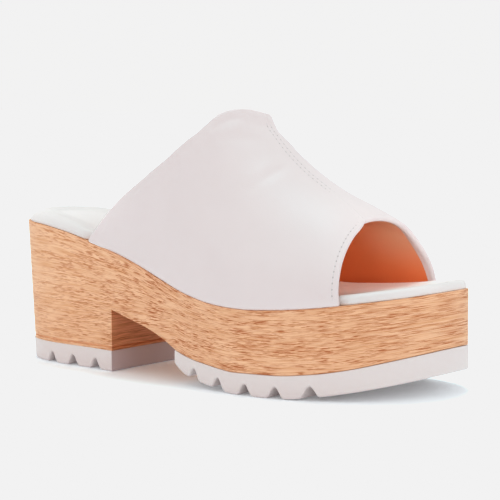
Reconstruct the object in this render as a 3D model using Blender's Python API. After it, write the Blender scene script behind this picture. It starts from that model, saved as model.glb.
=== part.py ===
"""Platform mule, right shoe: an open-toed, backless leather upper on a wood-look platform with a
block heel, a wrapped insole, and a lugged rubber tread under the heel and under the forefoot.

Metres. +X points to the toe, +Y to the inner (medial) side and +Z up. The origin is on the floor,
under the middle of the sole. The shoe stands on two flat spots of its treads.

Every table below holds shares of the named sizes above it, one row for each station along the
shoe. A station is given as its share of the shoe's length, from the back of the heel to the toe.
"""

import math

import bpy
import numpy as np

# Driving sizes
SHOE_LENGTH = 0.245
BALL_WIDTH = 0.095
HEEL_HEIGHT = 0.0700
BALL_HEIGHT = 0.0390
TOE_HEIGHT = 0.0477
INSTEP_RISE = 0.0850
TREAD_THICKNESS = 0.0100
TREAD_TOE_SPRING = 0.0106
TREAD_BACK_ROLL = 0.0092
ARCH_HEIGHT = 0.0303
HEEL_LENGTH = 0.0755
ARCH_LENGTH = 0.0479
HEEL_SETBACK = 0.0039
UPPER_WALL = 0.0020
INSOLE_THICKNESS = 0.0046
INSOLE_DISH = 0.0010
NOTCH_PITCH = 0.0162
NOTCH_DEPTH = 0.0052
NOTCH_MOUTH = 0.0074
NOTCH_ROOT = 0.0016
FOREFOOT_NOTCHES = 5
FOREFOOT_FIRST_NOTCH = 0.0135
HEEL_NOTCHES = 3
HEEL_FIRST_NOTCH = 0.0302

# Where the heel ends and where the forefoot tread starts, as shares of the shoe's length
HEEL_BREAST = HEEL_LENGTH / SHOE_LENGTH
ARCH_FOOT = (HEEL_LENGTH + ARCH_LENGTH) / SHOE_LENGTH

# Clearances and small edges
JOINT_GAP = 0.0003
UPPER_INSET = 0.0004
INSOLE_CLEARANCE = 0.0005
INSOLE_RIM_INSET = 0.0008
INSOLE_TUCK_LENGTH = 0.0050
TOP_EDGE_RADIUS = 0.0006
TREAD_EDGE_RADIUS = 0.0008

# Mesh density
SOLE_STATIONS = 56
HEEL_TREAD_STATIONS = 20
FORE_TREAD_STATIONS = 34
UPPER_ROWS = 27
UPPER_HALF_COLUMNS = 22

# Sole outline: length share, outer (lateral) side and inner (medial) side as shares of half the
# ball width. The first and last rows are the back of the heel and the tip of the toe.
OUTLINE = (
    (0.000, 0.084, 0.084),
    (0.016, -0.211, 0.379),
    (0.063, -0.432, 0.600),
    (0.133, -0.537, 0.695),
    (0.251, -0.589, 0.726),
    (0.400, -0.716, 0.747),
    (0.520, -0.863, 0.842),
    (0.618, -0.968, 0.947),
    (0.700, -1.000, 0.999),
    (0.778, -0.958, 1.000),
    (0.859, -0.811, 0.958),
    (0.924, -0.589, 0.861),
    (0.969, -0.295, 0.692),
    (0.992, -0.033, 0.498),
    (1.000, 0.235, 0.235),
)

# Top line of the platform: length share, rise towards the heel as a share of heel height less ball
# height, rise towards the toe as a share of toe height less ball height.
TOP_LINE = (
    (0.000, 1.000, 0.000),
    (0.033, 0.987, 0.000),
    (0.114, 0.948, 0.000),
    (0.175, 0.874, 0.000),
    (0.245, 0.745, 0.000),
    (0.329, 0.590, 0.000),
    (0.382, 0.474, 0.000),
    (0.456, 0.290, 0.000),
    (0.519, 0.145, 0.000),
    (0.600, 0.032, 0.000),
    (0.683, 0.000, 0.000),
    (0.738, 0.000, 0.070),
    (0.834, 0.000, 0.310),
    (0.908, 0.000, 0.598),
    (0.962, 0.000, 0.816),
    (1.000, 0.000, 1.000),
)

# Underside of the forefoot tread: share of the tread's own length, roll at its back as a share of
# the back roll, spring at the toe as a share of the toe spring, thickness as a share of the tread
# thickness.
FORE_TREAD = (
    (0.000, 1.00, 0.00, 0.65),
    (0.040, 0.67, 0.00, 0.82),
    (0.105, 0.42, 0.00, 0.88),
    (0.175, 0.27, 0.00, 0.92),
    (0.255, 0.11, 0.00, 0.95),
    (0.325, 0.00, 0.00, 0.98),
    (0.515, 0.00, 0.00, 1.03),
    (0.605, 0.00, 0.07, 1.04),
    (0.680, 0.00, 0.19, 1.02),
    (0.780, 0.00, 0.39, 1.03),
    (0.875, 0.00, 0.62, 1.08),
    (0.965, 0.00, 0.88, 1.11),
    (1.000, 0.00, 1.00, 1.11),
)

# Underside of the arch: share of the way from the heel breast to the forefoot tread, height as a
# share of the way from the platform's joint with the tread up to the arch height.
ARCH_LINE = (
    (0.00, 1.000),
    (0.25, 0.795),
    (0.55, 0.560),
    (0.80, 0.290),
    (1.00, 0.000),
)

# Leather sections: length share, rise of the instep line over the platform's top as a share of the
# instep rise, side shift of the instep line as a share of half the ball width, lean of the wall at
# its foot, fullness of the outer and the inner wall, fullness of the outer and the inner crown, the
# last five as shares of the section's own width or height. Behind the collar the instep line is
# carried on up the leg, so that the wall below it keeps the form of the last.
SECTIONS = (
    (0.24, 1.790, 0.16, 0.15, 0.56, 0.48, 0.50, 0.47),
    (0.36, 1.470, 0.20, 0.15, 0.54, 0.46, 0.49, 0.44),
    (0.47, 1.230, 0.23, 0.12, 0.52, 0.45, 0.49, 0.42),
    (0.54, 1.050, 0.25, 0.09, 0.51, 0.45, 0.49, 0.42),
    (0.60, 0.870, 0.22, 0.07, 0.49, 0.50, 0.49, 0.49),
    (0.65, 0.755, 0.20, 0.05, 0.49, 0.54, 0.49, 0.55),
    (0.72, 0.620, 0.19, 0.03, 0.48, 0.59, 0.49, 0.61),
    (0.81, 0.475, 0.17, 0.02, 0.48, 0.65, 0.50, 0.68),
    (0.90, 0.240, 0.14, 0.02, 0.47, 0.70, 0.51, 0.73),
)

# Edges of the leather: way round the section from the outer foot (0) over the instep (0.5) to the
# inner foot (1), length share of the collar, length share of the toe opening.
LEATHER_EDGES = (
    (0.00, 0.240, 0.873),
    (0.12, 0.394, 0.863),
    (0.25, 0.488, 0.850),
    (0.36, 0.529, 0.840),
    (0.43, 0.545, 0.835),
    (0.50, 0.556, 0.831),
    (0.57, 0.545, 0.831),
    (0.64, 0.529, 0.832),
    (0.75, 0.488, 0.839),
    (0.88, 0.394, 0.860),
    (1.00, 0.247, 0.874),
)

# Side of the insole from its underside up and over: inset and rise as shares of its thickness,
# sink of its top as a share of the dish.
INSOLE_PROFILE = (
    (0.12, 0.00, 0.0),
    (0.00, 0.22, 0.0),
    (0.04, 0.50, 0.0),
    (0.20, 0.78, 0.0),
    (0.50, 0.95, 0.0),
    (0.95, 1.00, 0.0),
    (2.00, 1.00, 0.6),
    (3.00, 1.00, 1.0),
)


def smooth(rows, column, at, way=None):
    """A column of a table at the places given, by cubics through its rows. A row's slope is the
    one of a parabola through it and its neighbours, or level where the column turns or stays.
    `way` changes the measure along the rows, for the rows and the places alike."""
    table = np.array(rows, float)
    places = table[:, 0] if way is None else way(table[:, 0])
    at = np.asarray(at, float) if way is None else way(np.asarray(at, float))
    values = table[:, column]
    slopes = np.gradient(values, places)
    steps = np.diff(values)
    slopes[1:-1][steps[:-1] * steps[1:] <= 0] = 0
    at = np.clip(at, places[0], places[-1])
    low = np.clip(np.searchsorted(places, at, side="right") - 1, 0, len(places) - 2)
    span = places[low + 1] - places[low]
    part = (at - places[low]) / span
    return (
        (1 + 2 * part) * (1 - part) ** 2 * values[low]
        + part * (1 - part) ** 2 * span * slopes[low]
        + part**2 * (3 - 2 * part) * values[low + 1]
        + part**2 * (part - 1) * span * slopes[low + 1]
    )


def round_way(shares):
    """Angle round a half circle whose diameter is the shoe's length: it opens out both ends."""
    return np.arccos(np.clip(1 - 2 * np.asarray(shares), -1, 1))


def x_of(share):
    return (np.asarray(share) - 0.5) * SHOE_LENGTH


def share_of(x):
    return np.asarray(x) / SHOE_LENGTH + 0.5


def side_of_sole(shares, column):
    """y of the sole's outline on the outer side (column 1) or the inner side (column 2)."""
    return smooth(OUTLINE, column, shares, round_way) * BALL_WIDTH / 2


def top_height(x):
    """Height of the platform's top at x."""
    share = share_of(x)
    heel_rise = smooth(TOP_LINE, 1, share) * (HEEL_HEIGHT - BALL_HEIGHT)
    toe_rise = smooth(TOP_LINE, 2, share) * (TOE_HEIGHT - BALL_HEIGHT)
    return BALL_HEIGHT + heel_rise + toe_rise


def tread_share(x):
    """How far along the forefoot tread x is, from 0 at its back end to 1 at the toe."""
    return (share_of(x) - ARCH_FOOT) / (1 - ARCH_FOOT)


def tread_bottom(x):
    """Height of the forefoot tread's underside at x."""
    share = tread_share(x)
    roll = smooth(FORE_TREAD, 1, share) * TREAD_BACK_ROLL
    return roll + smooth(FORE_TREAD, 2, share) * TREAD_TOE_SPRING


def joint_height(x):
    """Height of the joint between treads and platform: level over the heel, a straight line under
    the arch, which the arch cutter takes away, and the top of the forefoot tread."""
    share = share_of(x)
    fore = tread_bottom(x) + smooth(FORE_TREAD, 3, tread_share(x)) * TREAD_THICKNESS
    fore_start = tread_bottom(x_of(ARCH_FOOT)) + FORE_TREAD[0][3] * TREAD_THICKNESS
    way = np.clip((share - HEEL_BREAST) / (ARCH_FOOT - HEEL_BREAST), 0, 1)
    behind = TREAD_THICKNESS + (fore_start - TREAD_THICKNESS) * way
    return np.where(share < ARCH_FOOT, behind, fore)


def stations(start, end, count):
    """Length shares from start to end, closer together where the outline turns round an end. The
    nearest ones move to the heel breast and to the arch's foot, so that both are met exactly."""
    angles = np.linspace(round_way(start), round_way(end), count + 1)
    shares = (1 - np.cos(angles)) / 2
    for place in (HEEL_BREAST, ARCH_FOOT):
        if start < place < end:
            shares[np.argmin(np.abs(shares - place))] = place
    return shares


class Outline:
    """The sole's outline between two length shares as one closed ring, anticlockwise from above.
    It has one point at a round end and two at an end that is cut straight across. `outer` and
    `inner` are the ring's point numbers along the two sides, from back to front."""

    def __init__(self, start, end, count):
        shares = stations(start, end, count)
        round_start = start <= 0
        round_end = end >= 1
        angles = round_way(shares)
        step = 1e-4
        before = (1 - np.cos(np.clip(angles - step, 0, np.pi))) / 2
        after = (1 - np.cos(np.clip(angles + step, 0, np.pi))) / 2
        run = (after - before) * SHOE_LENGTH
        sides = []
        for column, turn in ((1, 1), (2, -1)):
            rise = side_of_sole(after, column) - side_of_sole(before, column)
            inward = np.stack([-rise, run], axis=1) * turn
            inward /= np.linalg.norm(inward, axis=1, keepdims=True)
            if not round_start:
                inward[0] = (0, turn)
            if not round_end:
                inward[-1] = (0, turn)
            points = np.stack([x_of(shares), side_of_sole(shares, column)], axis=1)
            sides.append((points, inward))
        back = slice(1 if round_start else 0, -1 if round_end else None)
        self.points = np.vstack([sides[0][0], sides[1][0][back][::-1]])
        self.inward = np.vstack([sides[0][1], sides[1][1][back][::-1]])
        self.size = len(self.points)
        self.outer = np.arange(count + 1)
        self.inner = (self.size - self.outer - (0 if round_start else 1)) % self.size
        if round_end:
            self.inner[-1] = count

    def ring(self, inset, height):
        """The ring moved inwards by `inset`, one value or one for each point, at the height that
        the function `height` gives from x and y."""
        moved = self.points + self.inward * np.reshape(inset, (-1, 1))
        return np.column_stack([moved, height(moved[:, 0], moved[:, 1])])

    def cap(self, first, upwards):
        """Faces across the ring whose point numbers start at `first`."""
        faces = []
        for i in range(len(self.outer) - 1):
            corners = [self.outer[i], self.outer[i + 1], self.inner[i + 1], self.inner[i]]
            face = [first + c for n, c in enumerate(corners) if c not in corners[:n]]
            faces.append(face if upwards else face[::-1])
        return faces

    def solid(self, rings):
        """Points and faces of the closed solid through the rings, from the lowest to the last."""
        faces = self.cap(0, upwards=False)
        for level in range(len(rings) - 1):
            low = level * self.size
            high = low + self.size
            for i in range(self.size):
                j = (i + 1) % self.size
                faces.append([low + i, low + j, high + j, high + i])
        faces += self.cap((len(rings) - 1) * self.size, upwards=True)
        return np.vstack(rings), faces


def heel_lean(x, depth):
    """Inset of the platform's side at a depth below its top: the heel leans in downwards, most at
    its back, and the forefoot stands upright."""
    share = np.clip(share_of(x), 0, 1)
    fade = np.clip(1 - share / ARCH_FOOT, 0, 1)
    return HEEL_SETBACK / HEEL_HEIGHT * fade * fade * depth


def section_point(share, way):
    """A point of the last's surface, the leather's outer face. On each side a section is one cubic
    curve: it starts at the rim of the sole, leans in by the row's lean while it rises by the wall
    fullness, and comes level to the instep line from the crown fullness."""
    share = np.asarray(share, float)
    way = np.asarray(way, float)
    x = x_of(share)
    outer_side = way <= 0.5
    outer_rim = side_of_sole(share, 1) + UPPER_INSET
    inner_rim = side_of_sole(share, 2) - UPPER_INSET
    foot = np.where(outer_side, outer_rim, inner_rim)
    rise = smooth(SECTIONS, 1, share) * INSTEP_RISE
    ridge_y = smooth(SECTIONS, 2, share) * BALL_WIDTH / 2
    lean = smooth(SECTIONS, 3, share)
    wall = np.where(outer_side, smooth(SECTIONS, 4, share), smooth(SECTIONS, 5, share))
    crown = np.where(outer_side, smooth(SECTIONS, 6, share), smooth(SECTIONS, 7, share))
    t = 1 - np.abs(2 * way - 1)
    first = 3 * (1 - t) ** 2 * t
    second = 3 * (1 - t) * t**2
    last = t**3
    y = foot + (ridge_y - foot) * (first * lean + second * (1 - crown) + last)
    z = top_height(x) + JOINT_GAP + rise * (first * wall + second + last)
    return np.stack(np.broadcast_arrays(x, y, z), axis=-1)


def leather_point(along, way):
    """A point of the leather's outer face: `along` runs from the collar (0) to the toe opening (1)
    and `way` round the section from the outer foot (0) to the inner foot (1)."""
    collar = smooth(LEATHER_EDGES, 1, way)
    opening = smooth(LEATHER_EDGES, 2, way)
    return section_point(collar + (opening - collar) * along, way)


def leather_normal(along, way):
    """Unit normals of the leather's outer face, pointing out of the shoe."""
    step = 1e-4
    by_along = leather_point(along + step, way) - leather_point(along - step, way)
    by_way = leather_point(along, way + step) - leather_point(along, way - step)
    normal = np.cross(by_along, by_way)
    return normal / np.linalg.norm(normal, axis=-1, keepdims=True)


def upper_mesh():
    """The leather as a hollow wall: the outer face, the inner face one wall thickness inside it,
    and the four edges between them."""
    half = np.linspace(0, 0.5, UPPER_HALF_COLUMNS + 1)
    ways = np.concatenate([half, 0.5 + half[1:]])
    alongs = np.linspace(0, 1, UPPER_ROWS)
    along, way = np.meshgrid(alongs, ways, indexing="ij")
    outer = leather_point(along, way)
    normal = leather_normal(along, np.clip(way, 1e-3, 1 - 1e-3))
    for edge in (0, -1):
        normal[:, edge, 2] = 0
        normal[:, edge] /= np.linalg.norm(normal[:, edge], axis=-1, keepdims=True)
    inner = outer - normal * UPPER_WALL
    inner[:, 0, 2] = outer[:, 0, 2]
    inner[:, -1, 2] = outer[:, -1, 2]
    rows, columns = along.shape
    number = np.arange(rows * columns).reshape(rows, columns)
    far = number + rows * columns
    faces = []
    for i in range(rows - 1):
        for j in range(columns - 1):
            square = [number[i, j], number[i + 1, j], number[i + 1, j + 1], number[i, j + 1]]
            faces.append(square)
            faces.append([corner + rows * columns for corner in reversed(square)])
    rim = [*number[:, 0], *number[-1, 1:], *number[-2::-1, -1], *number[0, -2:0:-1]]
    deep = [*far[:, 0], *far[-1, 1:], *far[-2::-1, -1], *far[0, -2:0:-1]]
    for i in range(len(rim)):
        j = (i + 1) % len(rim)
        faces.append([rim[j], rim[i], deep[i], deep[j]])
    return np.vstack([outer.reshape(-1, 3), inner.reshape(-1, 3)]), faces


def platform_mesh():
    """The platform before its arch is cut: the sole's outline from the treads to the top line,
    with a lightly rounded top edge."""
    outline = Outline(0, 1, SOLE_STATIONS)

    def level(part, inset):
        x = outline.points[:, 0]
        depth = (top_height(x) - joint_height(x)) * (1 - part)

        def height(px, _):
            low = joint_height(px) + JOINT_GAP
            return low + (top_height(px) - low) * part

        return outline.ring(heel_lean(x, depth) + inset, height)

    rings = [level(part, 0) for part in (0, 0.25, 0.5, 0.75)]

    def shoulder(px, _):
        return top_height(px) - TOP_EDGE_RADIUS

    def top(px, _):
        return top_height(px)

    rings.append(outline.ring(0, shoulder))
    rings.append(outline.ring(TOP_EDGE_RADIUS, top))
    return outline.solid(rings)


def covered_share(x):
    """1 where the leather stands round the insole and 0 beyond its collar and its toe opening,
    with a short change between them."""
    start = x_of(LEATHER_EDGES[0][1])
    end = x_of(LEATHER_EDGES[0][2])
    back = np.clip((x - start) / INSOLE_TUCK_LENGTH + 1, 0, 1)
    front = np.clip((end - x) / INSOLE_TUCK_LENGTH + 1, 0, 1)
    both = np.minimum(back, front)
    return both * both * (3 - 2 * both)


def insole_mesh():
    """The wrapped insole: flat underneath on the platform, rounded over its rim and lightly dished
    on top. Inside the leather it is narrower by the wall and its clearance."""
    outline = Outline(0, 1, SOLE_STATIONS)
    tuck = UPPER_INSET + UPPER_WALL + INSOLE_CLEARANCE - INSOLE_RIM_INSET
    rim = INSOLE_RIM_INSET + tuck * covered_share(outline.points[:, 0])

    rings = []
    for inset, rise, sink in INSOLE_PROFILE:
        lift = JOINT_GAP + rise * INSOLE_THICKNESS - sink * INSOLE_DISH
        rings.append(
            outline.ring(
                rim + inset * INSOLE_THICKNESS, lambda px, py, lift=lift: top_height(px) + lift
            )
        )
    return outline.solid(rings)


def tread_mesh(outline, bottom):
    """A tread before its notches are cut: the outline from its underside to the joint, leaning
    with the platform above it."""
    x = outline.points[:, 0]
    joint_lean = heel_lean(x, top_height(x) - joint_height(x))
    floor_lean = heel_lean(x, top_height(x) - bottom(x, 0))
    rings = [
        outline.ring(floor_lean + TREAD_EDGE_RADIUS, bottom),
        outline.ring(floor_lean, lambda px, py: bottom(px, py) + TREAD_EDGE_RADIUS),
        outline.ring(joint_lean, lambda px, py: joint_height(px)),
    ]
    return outline.solid(rings)


def heel_tread_mesh():
    return tread_mesh(Outline(0, HEEL_BREAST, HEEL_TREAD_STATIONS), lambda px, py: px * 0)


def fore_tread_mesh():
    outline = Outline(ARCH_FOOT, 1, FORE_TREAD_STATIONS)
    return tread_mesh(outline, lambda px, py: tread_bottom(px))


def prism(profile):
    """Points and faces of a bar across the shoe whose side view is the profile of (x, z) points,
    anticlockwise when seen with +X to the right and +Z up."""
    count = len(profile)
    points = [(x, -BALL_WIDTH, z) for x, z in profile] + [(x, BALL_WIDTH, z) for x, z in profile]
    faces = [list(range(count)), list(range(2 * count - 1, count - 1, -1))]
    for i in range(count):
        j = (i + 1) % count
        faces.append([j, i, i + count, j + count])
    return points, faces


def arch_profile():
    """Side view of the gap under the arch: the upright heel breast, the arch's sloping underside
    and, past the forefoot tread's back end, a short way below the joint."""
    start = float(x_of(HEEL_BREAST))
    run = float(x_of(ARCH_FOOT)) - start
    joint = float(joint_height(x_of(ARCH_FOOT) + 1e-6)) + JOINT_GAP
    shares = np.linspace(0, 1, 11)
    rise = smooth(ARCH_LINE, 1, shares)
    curve = [(start + run * s, joint + (ARCH_HEIGHT - joint) * r) for s, r in zip(shares, rise)]
    below = -TREAD_THICKNESS
    return [(start, below), (start + run, below), *reversed(curve)]


def notch_profile(x):
    """Side view of one notch: a narrow root above a wide mouth that runs on under the tread."""
    root = float(tread_bottom(x) if share_of(x) > ARCH_FOOT else 0.0) + NOTCH_DEPTH
    spread = (NOTCH_MOUTH - NOTCH_ROOT) / 2 / NOTCH_DEPTH
    low = root - 2 * NOTCH_DEPTH
    wide = NOTCH_ROOT / 2 + spread * 2 * NOTCH_DEPTH
    half = NOTCH_ROOT / 2
    soft = NOTCH_ROOT / 4
    return [
        (x - wide, low),
        (x + wide, low),
        (x + half, root - soft),
        (x + half - soft, root),
        (x - half + soft, root),
        (x - half, root - soft),
    ]


def principled(name, colour, roughness, metallic=0.0):
    material = bpy.data.materials.new(name)
    material.use_nodes = True
    shader = material.node_tree.nodes["Principled BSDF"]
    shader.inputs["Base Color"].default_value = (*colour, 1.0)
    shader.inputs["Roughness"].default_value = roughness
    shader.inputs["Metallic"].default_value = metallic
    return material


def smooth_leather():
    return principled("smooth_leather", (0.80, 0.75, 0.74), 0.45)


def wrapped_insole():
    return principled("wrapped_insole", (0.81, 0.78, 0.78), 0.50)


def wood_look_film():
    return principled("wood_look_film", (0.77, 0.42, 0.22), 0.50)


def moulded_rubber():
    return principled("moulded_rubber", (0.69, 0.63, 0.61), 0.55)


def add_mesh(name, shape, collection, material=None, sharp_degrees=35):
    points, faces = shape
    mesh = bpy.data.meshes.new(name)
    mesh.from_pydata([tuple(map(float, p)) for p in points], [], [list(map(int, f)) for f in faces])
    mesh.validate()
    mesh.shade_smooth()
    mesh.set_sharp_from_angle(angle=math.radians(sharp_degrees))
    obj = bpy.data.objects.new(name, mesh)
    collection.objects.link(obj)
    if material:
        mesh.materials.append(material)
    return obj


def add_cutter(name, profile, target, collection):
    cutter = add_mesh(name, prism(profile), collection)
    cutter.hide_render = True
    cutter.display_type = "WIRE"
    cut = target.modifiers.new(name, "BOOLEAN")
    cut.operation = "DIFFERENCE"
    cut.solver = "EXACT"
    cut.object = cutter


def notch_places(start, first, count):
    """x of each notch of a tread that starts at the length share `start`."""
    return [float(x_of(start)) + first + NOTCH_PITCH * i for i in range(count)]


def clear_scene():
    for obj in list(bpy.data.objects):
        bpy.data.objects.remove(obj, do_unlink=True)


def new_collection(name):
    collection = bpy.data.collections.new(name)
    bpy.context.scene.collection.children.link(collection)
    return collection


def main():
    clear_scene()
    parts = new_collection("platform_mule")
    cutters = new_collection("cutters")
    rubber = moulded_rubber()
    platform = add_mesh("platform", platform_mesh(), parts, wood_look_film())
    heel_tread = add_mesh("heel_tread", heel_tread_mesh(), parts, rubber)
    fore_tread = add_mesh("forefoot_tread", fore_tread_mesh(), parts, rubber)
    add_mesh("insole", insole_mesh(), parts, wrapped_insole())
    add_mesh("upper", upper_mesh(), parts, smooth_leather())
    add_cutter("arch_gap", arch_profile(), platform, cutters)
    for number, x in enumerate(notch_places(0, HEEL_FIRST_NOTCH, HEEL_NOTCHES), 1):
        add_cutter(f"heel_notch_{number}", notch_profile(x), heel_tread, cutters)
    fore_notches = notch_places(ARCH_FOOT, FOREFOOT_FIRST_NOTCH, FOREFOOT_NOTCHES)
    for number, x in enumerate(fore_notches, 1):
        add_cutter(f"forefoot_notch_{number}", notch_profile(x), fore_tread, cutters)


main()
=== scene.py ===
"""The platform mule dressed for its picture: a lined leather vamp with turned edges, a centre seam
and its stitches, a wrapped insole, a platform in wood-look film and lugged rubber treads.

Metres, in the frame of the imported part: +X to the toe, +Y to the inner side of the foot, +Z up.
"""

import logging
import math
from dataclasses import dataclass
from enum import Enum

import bmesh
import bpy
import numpy as np
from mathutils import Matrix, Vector


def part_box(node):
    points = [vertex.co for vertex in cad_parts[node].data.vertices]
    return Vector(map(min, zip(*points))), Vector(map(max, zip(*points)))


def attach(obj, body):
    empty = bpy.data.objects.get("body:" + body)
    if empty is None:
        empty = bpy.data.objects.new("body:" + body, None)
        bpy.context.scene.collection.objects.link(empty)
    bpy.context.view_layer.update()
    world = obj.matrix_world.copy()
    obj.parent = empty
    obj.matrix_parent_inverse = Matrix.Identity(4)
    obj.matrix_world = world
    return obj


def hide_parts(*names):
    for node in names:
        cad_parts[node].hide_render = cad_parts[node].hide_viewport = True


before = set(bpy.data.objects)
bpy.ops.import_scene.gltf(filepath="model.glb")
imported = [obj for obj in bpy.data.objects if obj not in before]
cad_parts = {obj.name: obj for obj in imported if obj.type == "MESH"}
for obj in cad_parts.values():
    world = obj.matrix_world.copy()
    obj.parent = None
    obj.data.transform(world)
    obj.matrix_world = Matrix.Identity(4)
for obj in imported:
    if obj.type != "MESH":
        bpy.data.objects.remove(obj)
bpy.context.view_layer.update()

log = logging.getLogger("platform_mule")

MM = 0.001
HAIR = 1e-6  # Too small to see: points closer than this are one.
STEP = 1e-4  # Share of the way, or angle, over which a slope is measured.

Table = tuple[tuple[float, ...], ...]

# Sole outline: length share, outer side and inner side as shares of half the ball width.
OUTLINE: Table = (
    (0.000, 0.084, 0.084),
    (0.016, -0.211, 0.379),
    (0.063, -0.432, 0.600),
    (0.133, -0.537, 0.695),
    (0.251, -0.589, 0.726),
    (0.400, -0.716, 0.747),
    (0.520, -0.863, 0.842),
    (0.618, -0.968, 0.947),
    (0.700, -1.000, 0.999),
    (0.778, -0.958, 1.000),
    (0.859, -0.811, 0.958),
    (0.924, -0.589, 0.861),
    (0.969, -0.295, 0.692),
    (0.992, -0.033, 0.498),
    (1.000, 0.235, 0.235),
)

# Top line: length share, rise towards the heel and rise towards the toe as shares of full rise.
TOP_LINE: Table = (
    (0.000, 1.000, 0.000),
    (0.033, 0.987, 0.000),
    (0.114, 0.948, 0.000),
    (0.175, 0.874, 0.000),
    (0.245, 0.745, 0.000),
    (0.329, 0.590, 0.000),
    (0.382, 0.474, 0.000),
    (0.456, 0.290, 0.000),
    (0.519, 0.145, 0.000),
    (0.600, 0.032, 0.000),
    (0.683, 0.000, 0.000),
    (0.738, 0.000, 0.070),
    (0.834, 0.000, 0.310),
    (0.908, 0.000, 0.598),
    (0.962, 0.000, 0.816),
    (1.000, 0.000, 1.000),
)

# Forefoot tread: share of its own length, back roll, toe spring and thickness as shares.
FORE_TREAD: Table = (
    (0.000, 1.00, 0.00, 0.65),
    (0.040, 0.67, 0.00, 0.82),
    (0.105, 0.42, 0.00, 0.88),
    (0.175, 0.27, 0.00, 0.92),
    (0.255, 0.11, 0.00, 0.95),
    (0.325, 0.00, 0.00, 0.98),
    (0.515, 0.00, 0.00, 1.03),
    (0.605, 0.00, 0.07, 1.04),
    (0.680, 0.00, 0.19, 1.02),
    (0.780, 0.00, 0.39, 1.03),
    (0.875, 0.00, 0.62, 1.08),
    (0.965, 0.00, 0.88, 1.11),
    (1.000, 0.00, 1.00, 1.11),
)

# Underside of the arch: share of the way forward from the breast, share of the arch's height.
ARCH_LINE: Table = (
    (0.00, 1.000),
    (0.25, 0.795),
    (0.55, 0.560),
    (0.80, 0.290),
    (1.00, 0.000),
)

# Leather sections: length share, rise, side shift of the instep line, lean at the foot, fullness
# of the outer and the inner wall and of the outer and the inner crown.
SECTIONS: Table = (
    (0.24, 1.790, 0.16, 0.15, 0.56, 0.48, 0.50, 0.47),
    (0.36, 1.470, 0.20, 0.15, 0.54, 0.46, 0.49, 0.44),
    (0.47, 1.230, 0.23, 0.12, 0.52, 0.45, 0.49, 0.42),
    (0.54, 1.050, 0.25, 0.09, 0.51, 0.45, 0.49, 0.42),
    (0.60, 0.870, 0.22, 0.07, 0.49, 0.50, 0.49, 0.49),
    (0.65, 0.755, 0.20, 0.05, 0.49, 0.54, 0.49, 0.55),
    (0.72, 0.620, 0.19, 0.03, 0.48, 0.59, 0.49, 0.61),
    (0.81, 0.475, 0.17, 0.02, 0.48, 0.65, 0.50, 0.68),
    (0.90, 0.240, 0.14, 0.02, 0.47, 0.70, 0.51, 0.73),
)

# Edges of the leather: way round the section, length share of the collar and of the toe opening.
LEATHER_EDGES: Table = (
    (0.00, 0.240, 0.873),
    (0.12, 0.394, 0.863),
    (0.25, 0.488, 0.850),
    (0.36, 0.529, 0.840),
    (0.43, 0.545, 0.835),
    (0.50, 0.556, 0.831),
    (0.57, 0.545, 0.831),
    (0.64, 0.529, 0.832),
    (0.75, 0.488, 0.839),
    (0.88, 0.394, 0.860),
    (1.00, 0.247, 0.874),
)

# Centre seam: way from the collar to the toe opening, way round the section.
SEAM_LINE: Table = (
    (0.00, 0.498),
    (0.15, 0.487),
    (0.40, 0.481),
    (0.65, 0.477),
    (0.85, 0.457),
    (1.00, 0.441),
)

# How making draws the leather's edges in: way round the section, shares of the collar's and of the
# opening's full ease.
EDGE_EASE: Table = (
    (0.00, 0.00, 0.00),
    (0.24, 0.00, 0.00),
    (0.33, -0.45, 0.00),
    (0.39, -0.25, 0.00),
    (0.42, 0.00, 0.40),
    (0.44, 0.12, 1.00),
    (0.47, 0.22, 0.35),
    (0.50, 0.38, 0.00),
    (0.55, 0.80, 0.00),
    (0.60, 1.00, 0.00),
    (0.66, 0.75, 0.00),
    (0.76, 0.20, 0.00),
    (1.00, 0.00, 0.00),
)

# Side of the insole from its underside up and over: inset and rise as shares of its thickness.
INSOLE_SIDE: Table = (
    (0.10, 0.00),
    (0.04, 0.02),
    (0.01, 0.08),
    (0.00, 0.24),
    (0.02, 0.42),
    (0.07, 0.58),
    (0.16, 0.73),
    (0.30, 0.86),
    (0.50, 0.95),
    (0.75, 0.99),
    (1.00, 1.00),
)


def smooth(rows: Table, column: int, at: np.ndarray, rounded: bool = False) -> np.ndarray:
    """A table's column at the places given: cubics whose slope at each row is that of a parabola
    through it and its neighbours, or level where the column turns or stays.

    Args:
        rows: the table, its first column the places of its rows.
        column: the number of the column that is read.
        at: the places that are asked for.
        rounded: measure places as angles of a half circle, which opens out both ends.

    Returns:
        The column's values at those places.
    """
    table = np.array(rows, float)
    places, values = table[:, 0], table[:, column]
    at = np.asarray(at, float)
    if rounded:
        places, at = round_way(places), round_way(at)
    slopes = np.gradient(values, places)
    steps = np.diff(values)
    slopes[1:-1][steps[:-1] * steps[1:] <= 0] = 0
    at = np.clip(at, places[0], places[-1])
    low = np.clip(np.searchsorted(places, at, side="right") - 1, 0, len(places) - 2)
    span = places[low + 1] - places[low]
    part = (at - places[low]) / span
    return (
        (1 + 2 * part) * (1 - part) ** 2 * values[low]
        + part * (1 - part) ** 2 * span * slopes[low]
        + part**2 * (3 - 2 * part) * values[low + 1]
        + part**2 * (part - 1) * span * slopes[low + 1]
    )


def round_way(shares: np.ndarray) -> np.ndarray:
    """Angle round a half circle for a share of its diameter."""
    return np.arccos(np.clip(1 - 2 * np.asarray(shares, float), -1, 1))


def soft_step(value: np.ndarray, low: float, high: float) -> np.ndarray:
    """0 below low, 1 above high and a smooth S between them."""
    part = np.clip((value - low) / (high - low), 0, 1)
    return part * part * (3 - 2 * part)


def unit(vectors: np.ndarray) -> np.ndarray:
    """Vectors along the last axis brought to length 1."""
    return vectors / np.linalg.norm(vectors, axis=-1, keepdims=True)


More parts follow.
